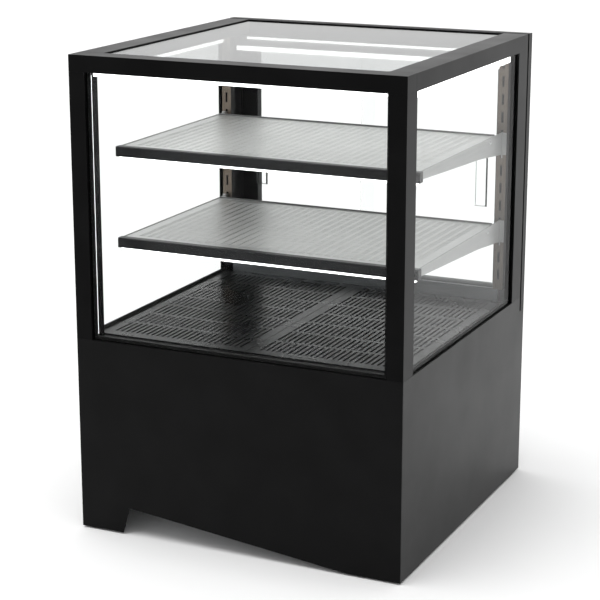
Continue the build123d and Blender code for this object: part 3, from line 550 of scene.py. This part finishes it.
def punched_sheet(mesh, low, high, margin, hole, pitch):
    """A sheet with rows of long holes inside a plain border. Low and high are its corners.

    Each hole has clipped corners, and its eight points join up with the four of its cell.
    """
    clipped = 0.3
    span_x, span_y = high[0] - low[0] - 2 * margin, high[1] - low[1] - 2 * margin
    columns, rows = int(span_x // pitch[0]), int(span_y // pitch[1])
    cell_x, cell_y = span_x / columns, span_y / rows
    corner = min(hole) * clipped
    half_x, half_y = hole[0] / 2, hole[1] / 2
    ring = (
        (-half_x, -half_y + corner), (-half_x + corner, -half_y), (half_x - corner, -half_y),
        (half_x, -half_y + corner), (half_x, half_y - corner), (half_x - corner, half_y),
        (-half_x + corner, half_y), (-half_x, half_y - corner),
    )
    grids = []
    for z in (low[2], high[2]):
        grids.append([
            [
                mesh.verts.new((low[0] + margin + column * cell_x, low[1] + margin + row * cell_y, z))
                for column in range(columns + 1)
            ]
            for row in range(rows + 1)
        ])
    for row in range(rows):
        for column in range(columns):
            middle_x = low[0] + margin + (column + 0.5) * cell_x
            middle_y = low[1] + margin + (row + 0.5) * cell_y
            levels = []
            for grid, z in zip(grids, (low[2], high[2])):
                around = [mesh.verts.new((middle_x + x, middle_y + y, z)) for x, y in ring]
                cell = (
                    grid[row][column], grid[row][column + 1],
                    grid[row + 1][column + 1], grid[row + 1][column],
                )
                for index, (first, second) in enumerate(((0, 1), (2, 3), (4, 5), (6, 7))):
                    mesh.faces.new((cell[index], around[second], around[first]))
                    following = (second + 1) % 8
                    mesh.faces.new((cell[index], cell[(index + 1) % 4], around[following], around[second]))
                levels.append(around)
            for index in range(8):
                after = (index + 1) % 8
                mesh.faces.new((levels[0][index], levels[0][after], levels[1][after], levels[1][index]))
    for grid, z in zip(grids, (low[2], high[2])):
        outer = [
            mesh.verts.new((x, y, z))
            for x, y in ((low[0], low[1]), (high[0], low[1]), (high[0], high[1]), (low[0], high[1]))
        ]
        mesh.faces.new([outer[0], outer[1], *reversed(grid[0])])
        mesh.faces.new([outer[1], outer[2], *(line[-1] for line in reversed(grid))])
        mesh.faces.new([outer[2], outer[3], *grid[-1]])
        mesh.faces.new([outer[3], outer[0], *(line[0] for line in grid)])
        grid.append(outer)
    for index in range(4):
        after = (index + 1) % 4
        mesh.faces.new((grids[0][-1][index], grids[0][-1][after], grids[1][-1][after], grids[1][-1][index]))


def aimed(point, direction):
    """A placing at a point, with its Z axis along a direction."""
    turn = Vector(direction).to_track_quat("Z", "Y").to_matrix().to_4x4()
    return Matrix.Translation(Vector(point)) @ turn


def middle_of(node):
    """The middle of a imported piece's box."""
    low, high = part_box(node)
    return (low + high) / 2


# Operators


class BaseCasing(bpy.types.Operator):
    """Coats the panels of the base, its pan and its foot pads"""

    bl_idname = "display_case.base_casing"
    bl_label = "Base casing"

    def execute(self, context):
        coat = powder_coat("satin black powder coat", colours().coat, gloss=0.2)
        panels = ("base_front_panel", "base_left_panel", "base_right_panel", "base_rear_panel")
        dress(panels, coat, sizes().edge)
        dress(("base_pan",), spangled_zinc("galvanised pan", ZINC_SHEET))
        rubber = moulded("foot pad rubber", colours().rubber, roughness=(0.7, 0.8), grain=400.0, relief=0.8)
        dress(("foot_pads",), rubber, sizes().edge)
        return {"FINISHED"}


class GlazedFrame(bpy.types.Operator):
    """Coats posts, rails, sill and rear frame, and blackens the seals"""

    bl_idname = "display_case.glazed_frame"
    bl_label = "Frame round the glass"

    def execute(self, context):
        coat = powder_coat("satin black frame coat", colours().coat, roughness=(0.28, 0.35), gloss=0.1)
        bars = (
            "glazing_sill", "front_left_post", "front_right_post", "rear_left_post", "rear_right_post",
            "front_top_rail", "left_top_rail", "right_top_rail", "rear_header", "rear_frame",
        )
        dress(bars, coat, sizes().edge)
        rubber = moulded("seal rubber", colours().rubber, roughness=(0.55, 0.7), grain=900.0, relief=0.5)
        dress(("frame_seals",), rubber)
        return {"FINISHED"}


class Panes(bpy.types.Operator):
    """Makes the fixed panes and the door panes of clear glass"""

    bl_idname = "display_case.panes"
    bl_label = "Panes"

    def execute(self, context):
        glass = clear_pane("coated tempered glass", colours().glass, SIDE_INDEX)
        dress(("front_glass", "left_glass", "right_glass"), glass, sizes().pane_edge)
        dress(("left_door_glass", "right_door_glass"), glass)
        top = clear_pane("tempered top glass", colours().top_glass, TOP_INDEX)
        dress(("top_glass",), top, sizes().pane_edge)
        return {"FINISHED"}


class LightStrips(bpy.types.Operator):
    """Lights the strips under the rails, on the posts and under the shelf trims"""

    bl_idname = "display_case.light_strips"
    bl_label = "Light strips"

    def execute(self, context):
        lit = lit_diffuser("lit diffuser", colours().light, stage_settings().strip)
        dress(("case_lights", "upper_shelf_light", "lower_shelf_light"), lit, TRIM_EDGE)
        return {"FINISHED"}


class Doors(bpy.types.Operator):
    """Finishes the door rails, their pulls, the track and the sill they run on"""

    bl_idname = "display_case.doors"
    bl_label = "Sliding doors"

    def execute(self, context):
        rails = drawn_metal("door rail aluminium", colours().aluminium, along="X", roughness=(0.3, 0.42))
        dress(("left_door_rails", "right_door_rails"), rails, RAIL_EDGE)
        pulls = clear_pane("clear moulded plastic", colours().pull, PULL_INDEX)
        dress(("left_door_pull", "right_door_pull"), pulls, RAIL_EDGE)
        shade = shade_of(colours().aluminium, TRACK_SHADE)[:3]
        track = drawn_metal("track aluminium", shade, along="X", roughness=(0.35, 0.48))
        dress(("door_track_top",), track, RAIL_EDGE)
        sill = drawn_metal("rear sill steel", colours().upstand, along="X", roughness=(0.3, 0.42))
        dress(("rear_sill",), sill, RAIL_EDGE)
        return {"FINISHED"}


class FloorGrille(bpy.types.Operator):
    """Finishes the floor grille and the well under it"""

    bl_idname = "display_case.floor_grille"
    bl_label = "Floor grille and well"

    def execute(self, context):
        deck = powder_coat("dark satin grille coat", colours().deck, facing=0.5, roughness=(0.22, 0.34))
        dress(("deck_panel_left", "deck_panel_right"), deck)
        liner = moulded("well liner", WELL_LINER, roughness=(0.5, 0.6), grain=700.0, relief=0.4)
        dress(("insulated_well",), liner)
        return {"FINISHED"}


def punched_shelf(level, steel, dark):
    """A shelf plate with fine holes, folded down at its sides, and a rear lip coloured dark as painted shade.
    """
    low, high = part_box(f"{level}_shelf")
    thick = SHELF_SHEET
    top = high[2] - SHELF_LIP_RISE
    mesh = bmesh.new()
    size = sizes()
    hole, pitch = (size.hole_length, size.hole_width), (size.hole_pitch_x, size.hole_pitch_y)
    near_corner, far_corner = (low[0], low[1], top - thick), (high[0], high[1] - thick, top)
    punched_sheet(mesh, near_corner, far_corner, size.shelf_margin, hole, pitch)
    for near in (low[0], high[0] - thick):
        block(mesh, (near, low[1], low[2]), (near + thick, high[1] - thick, top - thick))
    plate = new_piece(f"{level}_shelf_plate", mesh, steel, f"{level}_shelf_set")
    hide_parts(f"{level}_shelf")
    mesh = bmesh.new()
    block(mesh, (low[0], high[1] - thick, low[2]), high)
    lip = new_piece(f"{level}_shelf_rear_lip", mesh, dark, f"{level}_shelf_set")
    soften(lip, TRIM_EDGE)


def bracket_rivets(level, steel):
    """Domed rivets near the rear of the two brackets."""
    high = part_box(f"{level}_brackets")[1]
    radius = sizes().rivet_radius
    profile = ((1.0, 0.0), (1.0, 0.25), (0.85, 0.42), (0.5, 0.6), (0.0, 0.68))
    dome = [(out * radius, up * radius) for out, up in profile]
    mesh = bmesh.new()
    for side in (-1, 1):
        spot = (RIVET_OUT * side, RIVET_BACK, high[2] - RIVET_DROP)
        turned(mesh, dome, aimed(spot, (side, 0, 0)), sides=24)
    rivets = new_piece(f"{level}_bracket_rivets", mesh, steel, "case", smooth=True)


class Shelves(bpy.types.Operator):
    """Builds the punched shelf plates, and finishes trims, brackets and rivets"""

    bl_idname = "display_case.shelves"
    bl_label = "Shelves and brackets"

    def execute(self, context):
        steel = drawn_metal("shelf steel", colours().shelf, along="X", roughness=(0.34, 0.46), relief=0.25)
        rivet = drawn_metal("rivet steel", RIVET_STEEL, along="Z", roughness=(0.2, 0.3), relief=0.1)
        # Painted shade on the rear lips of the shelves
        dark = drawn_metal("shelf lip steel with painted shade", PAINTED_SHADE_LIP, along="X", roughness=(0.3, 0.4), relief=0.2)
        for level in ("upper", "lower"):
            punched_shelf(level, steel, dark)
            bracket_rivets(level, rivet)
        trim = powder_coat("dark anodised trim", colours().trim, facing=0.4, roughness=(0.28, 0.36))
        dress(("upper_shelf_trim", "lower_shelf_trim"), trim, TRIM_EDGE)
        bracket = drawn_metal(
            "bracket steel", colours().bracket, along="Y", roughness=(0.34, 0.48), relief=0.25
        )
        dress(("upper_brackets", "lower_brackets"), bracket)
        return {"FINISHED"}


class Uprights(bpy.types.Operator):
    """Finishes the slotted uprights, with painted shade behind their front faces"""

    bl_idname = "display_case.uprights"
    bl_label = "Slotted uprights"

    def execute(self, context):
        steel = drawn_metal(
            "upright steel", colours().upright, along="Z", roughness=(0.3, 0.5), relief=0.4, grain=500.0
        )
        # Painted shade: all of the uprights behind their front face, slots and sides too, get a near-black
        # colour
        face_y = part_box("slotted_uprights")[0].y + UPRIGHT_FACE
        paint_shade_behind(steel, face_y, CHANNEL_SHADE)
        dress(("slotted_uprights",), steel)
        return {"FINISHED"}


def louvre_hood(mesh, centre, length, depth):
    """A pressed hood over one slot of the grille, open below and tapered at both ends.

    Its profile is a share of the depth outward and millimetres upward.
    """
    steps, tapers = 14, 4.0
    profile = ((0.0, 4.6), (0.45, 4.2), (0.8, 3.2), (0.97, 1.6), (1.0, -0.4), (0.92, -2.4))
    rows = []
    for step in range(steps + 1):
        along = step / steps
        rise = math.sin(math.pi * min(1.0, tapers * min(along, 1.0 - along)) / 2)
        x = centre[0] + (along - 0.5) * length
        rows.append([
            mesh.verts.new((x, centre[1] + depth * rise * out, centre[2] + up * MM)) for out, up in profile
        ])
    for first, second in zip(rows, rows[1:]):
        for index in range(len(profile) - 1):
            mesh.faces.new((first[index], first[index + 1], second[index + 1], second[index]))


def cross_head(mesh, place, radius):
    """A domed screw head with a cross-shaped recess. Its measures are shares of the radius."""
    sectors, rings = 48, 16
    dome, flatness = 0.5, 0.75
    cross_reach, cross_half, cross_depth = 0.55, 0.13, 0.32
    grid = []
    for ring in range(rings + 1):
        reach = radius * ring / rings
        line = []
        for sector in range(sectors):
            turn = math.tau * sector / sectors
            x, y = reach * math.cos(turn), reach * math.sin(turn)
            height = dome * radius * math.sqrt(max(0.0, 1.0 - flatness * (reach / radius) ** 2))
            if reach < cross_reach * radius and min(abs(x), abs(y)) < cross_half * radius:
                height -= cross_depth * radius
            line.append(mesh.verts.new(place @ Vector((x, y, height))))
        grid.append(line)
    grid.append([
        mesh.verts.new(place @ on_circle(radius, math.tau * sector / sectors))
        for sector in range(sectors)
    ])
    for inner, outer in zip(grid[1:], grid[2:]):
        for sector in range(sectors):
            after = (sector + 1) % sectors
            mesh.faces.new((inner[sector], inner[after], outer[after], outer[sector]))
    centre = mesh.verts.new(place @ Vector((0.0, 0.0, (dome - cross_depth) * radius)))
    for sector in range(sectors):
        mesh.faces.new((grid[1][sector], grid[1][(sector + 1) % sectors], centre))


class RearPanel(bpy.types.Operator):
    """Builds louvre hoods, screw heads and controls on the back of the base"""

    bl_idname = "display_case.rear_panel"
    bl_label = "Rear of the base"

    def execute(self, context):
        coat = powder_coat("grille powder coat", colours().coat, roughness=(0.32, 0.42))
        dress(("service_grille",), coat)
        zinc = drawn_metal("zinc plated screw", ZINC_SCREW, along="X", roughness=(0.25, 0.35), relief=0.15)
        dress(("grille_screws",), zinc)
        self.hoods(coat)
        self.heads(zinc)
        self.controls()
        return {"FINISHED"}

    def hoods(self, coat):
        """One hood over each slot, in the grid of the grille."""
        low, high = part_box("service_grille")
        middle = (low + high) / 2
        mesh = bmesh.new()
        for column in range(LOUVRE_COLUMNS):
            for row in range(LOUVRE_ROWS):
                x = (column - (LOUVRE_COLUMNS - 1) / 2) * LOUVRE_SPACING
                z = middle.z + (row - (LOUVRE_ROWS - 1) / 2) * LOUVRE_PITCH
                louvre_hood(mesh, (x, high.y - HOOD_SUNK, z), HOOD_LENGTH, sizes().hood_depth)
        hoods = new_piece("grille_louvre_hoods", mesh, coat, "case", smooth=True)
        wall = hoods.modifiers.new("sheet thickness", "SOLIDIFY")
        wall.thickness = HOOD_SHEET
        wall.offset = 0.0

    def heads(self, zinc):
        """Cross-headed screws that hold the grille."""
        low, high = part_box("grille_screws")
        radius = sizes().screw_head
        rim_y = high.y - SCREW_RIM * radius
        mesh = bmesh.new()
        for x in (low.x + radius, 0.0, high.x - radius):
            for z in (low.z + radius, high.z - radius):
                cross_head(mesh, aimed((x, rim_y, z), (0, 1, 0)), radius)
        heads = new_piece("grille_screw_heads", mesh, zinc, "case")

    def controls(self):
        """Controller, its window and key marks, mains inlet and rocker."""
        shell = moulded("moulded black plastic", BLACK_PLASTIC)
        dress(("controller", "mains_inlet", "power_rocker"), shell, CONTROL_EDGE)
        grey = moulded("grey key plastic", KEY_GREY, roughness=(0.4, 0.5))
        dress(("set_key", "down_key", "up_key"), grey, KEY_EDGE)
        self.window()
        self.marks()

    def window(self):
        """Smoked window in the controller's face."""
        low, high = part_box("controller")
        mesh = bmesh.new()
        block(
            mesh,
            (low.x + WINDOW_LEFT, high.y - WINDOW_BACK, low.z + WINDOW_ABOVE),
            (high.x - WINDOW_RIGHT, high.y - WINDOW_FACE, high.z - WINDOW_ABOVE),
        )
        window = new_piece("controller_window", mesh, dark_glass("smoked window"), "case")
        edge = window.modifiers.new("window edge", "BEVEL")
        edge.width, edge.segments = WINDOW_EDGE, 2

    def marks(self):
        """An arrow on the up and down keys and a dot on the set key."""
        marks = moulded("printed white mark", KEY_MARK, roughness=(0.5, 0.6), grain=900.0, relief=0.1)
        size = KEY_MARK_SIZE
        short = 0.6 * size
        dot_sides = 20
        shapes = {
            "up_key": ("up_button", ((-size, -short), (size, -short), (0.0, size))),
            "down_key": ("down_button", ((-size, short), (0.0, -size), (size, short))),
            "set_key": ("set_button", [
                on_circle(short, math.tau * side / dot_sides).xy for side in range(dot_sides)
            ]),
        }
        lying = Matrix.Rotation(math.radians(-90.0), 4, "X")
        for key, (body, outline) in shapes.items():
            centre, top = middle_of(key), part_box(key)[1].y
            place = Matrix.Translation((centre.x, top - KEY_MARK_SUNK, centre.z)) @ lying
            flipped = [(x, -y) for x, y in outline]
            mesh = bmesh.new()
            prism(mesh, flipped, KEY_MARK_DEPTH, place)
            mark = new_piece(f"{key}_mark", mesh, marks, body)


def finned_block(name, node, body, finish, pipe):
    """Close thin fins between end plates on two feet, and tube bends out of both ends."""
    low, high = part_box(node)
    size = sizes()
    mesh = bmesh.new()
    near, far = low.x + COIL_END, high.x - COIL_END
    bottom = low.z + COIL_FOOT
    count = int((far - near) // size.fin_pitch)
    for step in range(count + 1):
        x = near + (far - near) * step / count
        thick = size.fin_thickness if 0 < step < count else END_PLATE
        block(mesh, (x - thick / 2, low.y, bottom), (x + thick / 2, high.y, high.z))
    for foot in (near + FOOT_INSET, far - FOOT_INSET):
        block(mesh, (foot - FOOT_HALF, low.y, low.z), (foot + FOOT_HALF, high.y, bottom))
    fins = new_piece(name, mesh, finish, body)
    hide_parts(node)

    mesh = bmesh.new()
    rise = (high.z - bottom) / TUBE_ROWS
    turns = [math.pi * step / BEND_STEPS for step in range(BEND_STEPS + 1)]
    for y in ((low.y * 3 + high.y) / 4, (low.y + high.y * 3) / 4):
        for x, outward, shift in ((near, -1, 0), (far, 1, 1)):
            for row in range(shift, TUBE_ROWS - 1, 2):
                z_low = bottom + (row + 0.5) * rise
                bend = [
                    (x + outward * BEND_REACH * math.sin(turn), y, z_low + rise * (1 - math.cos(turn)) / 2)
                    for turn in turns
                ]
                tube(mesh, bend, TUBE_RADIUS)
    bends = new_piece(f"{name}_bends", mesh, pipe, body, smooth=True)


def joint_called(name):
    """The declared joint of that name."""
    return next(joint for joint in frame["joints"] if joint["name"] == name)


def rotor_hub(mesh, radius, depth, place):
    """A capped hub with a blind bore for the shaft."""
    foot_round, cap_round, cap_rise, cap_flat = 0.8 * MM, 2.0 * MM, 0.2 * MM, 0.55
    profile = (
        (0.0, SHAFT_DEPTH),
        (SHAFT_BORE, SHAFT_DEPTH),
        (SHAFT_BORE, 0.0),
        (radius - foot_round, 0.0),
        (radius, foot_round),
        (radius, depth - cap_round),
        (radius - cap_round, depth - cap_rise),
        (cap_flat * radius, depth),
        (0.0, depth),
    )
    turned(mesh, profile, place, sides=40)


def blade_face(mesh, start, root, tip, depth, offset, place):
    """One face of a swept, twisted blade, as lines of points from its root to its tip."""
    root_half, tip_loss, sweep = math.radians(26.0), math.radians(3.0), math.radians(14.0)
    pitch, camber = 0.36, 0.10
    grid = []
    for out in range(BLADE_LINES + 1):
        share = out / BLADE_LINES
        reach = root + (tip - root) * share
        half = root_half - tip_loss * share
        line = []
        for step in range(BLADE_STEPS + 1):
            chord = 2.0 * step / BLADE_STEPS - 1.0
            turn = start + sweep * share + half * chord
            lift = depth * (0.5 + pitch * chord - camber * (1.0 - chord * chord)) + offset
            line.append(mesh.verts.new(place @ on_circle(reach, turn, lift)))
        grid.append(line)
    for first, second in zip(grid, grid[1:]):
        for step in range(BLADE_STEPS):
            mesh.faces.new((first[step], first[step + 1], second[step + 1], second[step]))
    return grid


def close_rim(mesh, under, over):
    """Faces all round the rim of a blade, between its two faces."""
    rim = (
        [(out, 0) for out in range(BLADE_LINES + 1)]
        + [(BLADE_LINES, step) for step in range(1, BLADE_STEPS + 1)]
        + [(out, BLADE_STEPS) for out in range(BLADE_LINES - 1, -1, -1)]
        + [(0, step) for step in range(BLADE_STEPS - 1, 0, -1)]
    )
    for (row, column), (next_row, next_column) in zip(rim, [*rim[1:], rim[0]]):
        mesh.faces.new((
            under[row][column],
            under[next_row][next_column],
            over[next_row][next_column],
            over[row][column],
        ))


def bladed_rotor(name, node, joint_name, blades, hub_radius, finish):
    """A hub with swept, twisted blades on its joint's axis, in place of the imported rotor."""
    low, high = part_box(node)
    joint = joint_called(joint_name)
    centre = Vector(joint["pos_m"])
    body = joint["child"]
    if joint["axis"][1]:
        place = aimed((centre.x, high.y, centre.z), (0, -1, 0))
        depth = high.y - low.y
    else:
        place = aimed((centre.x, centre.y, low.z), (0, 0, 1))
        depth = high.z - low.z
    tip = max(high.x - centre.x, centre.x - low.x) * TIP_SHARE
    root = hub_radius - BLADE_ROOT
    mesh = bmesh.new()
    rotor_hub(mesh, hub_radius, depth, place)
    for blade in range(blades):
        start = math.tau * blade / blades
        under, over = (
            blade_face(mesh, start, root, tip, depth, side * BLADE_SHEET, place) for side in (-0.5, 0.5)
        )
        close_rim(mesh, under, over)
    rotor = new_piece(name, mesh, finish, body)
    rotor.data.shade_smooth()
    rotor.data.set_sharp_from_angle(angle=math.radians(35.0))
    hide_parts(node)


class CoolingUnit(bpy.types.Operator):
    """Builds fins, tube bends and fan blades, and finishes the rest of the cooling unit"""

    bl_idname = "display_case.cooling_unit"
    bl_label = "Cooling unit"

    def execute(self, context):
        enamel = powder_coat("gloss black enamel", BLACK_ENAMEL, facing=1.0, roughness=(0.16, 0.24))
        dress(("compressor",), enamel, SHELL_EDGE)
        rubber = moulded("mount rubber", colours().rubber, roughness=(0.7, 0.8), grain=500.0, relief=0.7)
        dress(("compressor_mounts",), rubber, MOUNT_EDGE)
        fins = drawn_metal("bare fin aluminium", colours().fins, along="Z", roughness=(0.3, 0.45), relief=0.3)
        copper = drawn_metal("bare copper", colours().copper, along="Z", roughness=(0.25, 0.4), relief=0.2)
        plastic = moulded("fan black plastic", BLACK_PLASTIC, roughness=(0.45, 0.6))
        dress(("condenser_fan_shroud", "evaporator_fan_frame"), plastic)
        dress(("condensate_tray",), plastic, TRAY_EDGE)
        dress(("refrigerant_lines",), copper)
        finned_block("condenser_fins", "condenser", "case", fins, copper)
        finned_block("evaporator_fins", "evaporator", "case", fins, copper)
        for place, blades, hub_radius in (
            ("condenser", CONDENSER_BLADES, CONDENSER_HUB),
            ("evaporator", EVAPORATOR_BLADES, EVAPORATOR_HUB),
        ):
            fan = f"{place}_fan"
            bladed_rotor(f"{fan}_rotor", f"{fan}_blades", f"{fan}_spin", blades, hub_radius, plastic)
        return {"FINISHED"}


class Stage(bpy.types.Operator):
    """Lays the pale floor, sets the soft light and places the camera"""

    bl_idname = "display_case.stage"
    bl_label = "Studio"

    def execute(self, context):
        self.floor()
        self.light(context)
        self.camera(context)
        return {"FINISHED"}

    def floor(self):
        """A wide pale floor with a faint unevenness."""
        finish, tree, shader = new_finish("studio floor")
        shader.inputs["Specular IOR Level"].default_value = 0.1
        grain = speckle(tree, scale=3.0)
        base = stage_settings().floor
        vary_colour(tree, shader, grain, shade_of(base, 0.995), shade_of(base, 1.0))
        vary_roughness(tree, shader, grain, low=0.8, high=0.9)
        data = bpy.data.meshes.new("studio_floor")
        reach = 40.0
        corners = [(-reach, -reach, 0.0), (reach, -reach, 0.0), (reach, reach, 0.0), (-reach, reach, 0.0)]
        data.from_pydata(corners, [], [(0, 1, 2, 3)])
        data.materials.append(finish)
        ground = bpy.data.objects.new("studio_floor", data)
        bpy.context.scene.collection.objects.link(ground)

    def light(self, context):
        """White surroundings, brighter overhead, and one soft key light."""
        settings = stage_settings()
        world = bpy.data.worlds.new("white studio")
        world.use_nodes = True
        tree = world.node_tree
        sky = tree.nodes["Background"]
        sky.inputs["Color"].default_value = (1.0, 1.0, 1.0, 1.0)
        place = tree.nodes.new("ShaderNodeTexCoord")
        axes = tree.nodes.new("ShaderNodeSeparateXYZ")
        height = tree.nodes.new("ShaderNodeMapRange")
        height.inputs["From Min"].default_value = 0.1
        height.inputs["From Max"].default_value = 0.6
        height.inputs["To Min"].default_value = settings.low_sky
        height.inputs["To Max"].default_value = settings.high_sky
        tree.links.new(place.outputs["Generated"], axes.inputs["Vector"])
        tree.links.new(axes.outputs["Z"], height.inputs["Value"])
        tree.links.new(height.outputs["Result"], sky.inputs["Strength"])
        context.scene.world = world
        lamp = bpy.data.lights.new("soft key", "SUN")
        lamp.energy = settings.key
        lamp.angle = math.radians(LAMP_ANGLE)
        key = bpy.data.objects.new("soft key", lamp)
        key.rotation_euler = Vector(LAMP_AIM).to_track_quat("-Z", "Y").to_euler()
        context.scene.collection.objects.link(key)
        context.scene.view_settings.view_transform = "Standard"

    def camera(self, context):
        """The camera at the photograph's angle."""
        settings = stage_settings()
        lens = bpy.data.cameras.new("photo camera")
        lens.sensor_width = 36.0
        lens.lens = settings.focal * lens.sensor_width / PHOTO_SIZE
        lens.clip_end = 100.0
        camera = bpy.data.objects.new("photo camera", lens)
        camera.location = settings.place
        camera.rotation_euler = (math.radians(90.0) - settings.elevation, 0.0, settings.azimuth)
        context.scene.collection.objects.link(camera)
        context.scene.camera = camera


OPERATORS = (
    BaseCasing, GlazedFrame, Panes, LightStrips, Doors, FloorGrille,
    Shelves, Uprights, RearPanel, CoolingUnit, Stage,
)


class DisplayCasePanel(bpy.types.Panel):
    """Lists the steps that finish the case"""

    bl_idname = "VIEW3D_PT_display_case"
    bl_label = "Display case"
    bl_space_type = "VIEW_3D"
    bl_region_type = "UI"
    bl_category = "Display case"

    def draw(self, context):
        column = self.layout.column(align=True)
        for step in OPERATORS:
            column.operator(step.bl_idname)
        for group in (context.scene.case_colours, context.scene.case_sizes, context.scene.case_stage):
            box = self.layout.box()
            for setting in group.__annotations__:
                box.prop(group, setting)


CLASSES = (CaseColours, CaseSizes, CaseStage, *OPERATORS, DisplayCasePanel)


def register():
    for cls in CLASSES:
        bpy.utils.register_class(cls)
    bpy.types.Scene.case_colours = PointerProperty(type=CaseColours)
    bpy.types.Scene.case_sizes = PointerProperty(type=CaseSizes)
    bpy.types.Scene.case_stage = PointerProperty(type=CaseStage)


def unregister():
    del bpy.types.Scene.case_stage
    del bpy.types.Scene.case_sizes
    del bpy.types.Scene.case_colours
    for cls in reversed(CLASSES):
        bpy.utils.unregister_class(cls)


def main():
    """Dresses the case and builds the stage."""
    register()
    bpy.ops.display_case.base_casing()
    bpy.ops.display_case.glazed_frame()
    bpy.ops.display_case.panes()
    bpy.ops.display_case.light_strips()
    bpy.ops.display_case.doors()
    bpy.ops.display_case.floor_grille()
    bpy.ops.display_case.shelves()
    bpy.ops.display_case.uprights()
    bpy.ops.display_case.rear_panel()
    bpy.ops.display_case.cooling_unit()
    bpy.ops.display_case.stage()


if __name__ == "__main__":
    main()
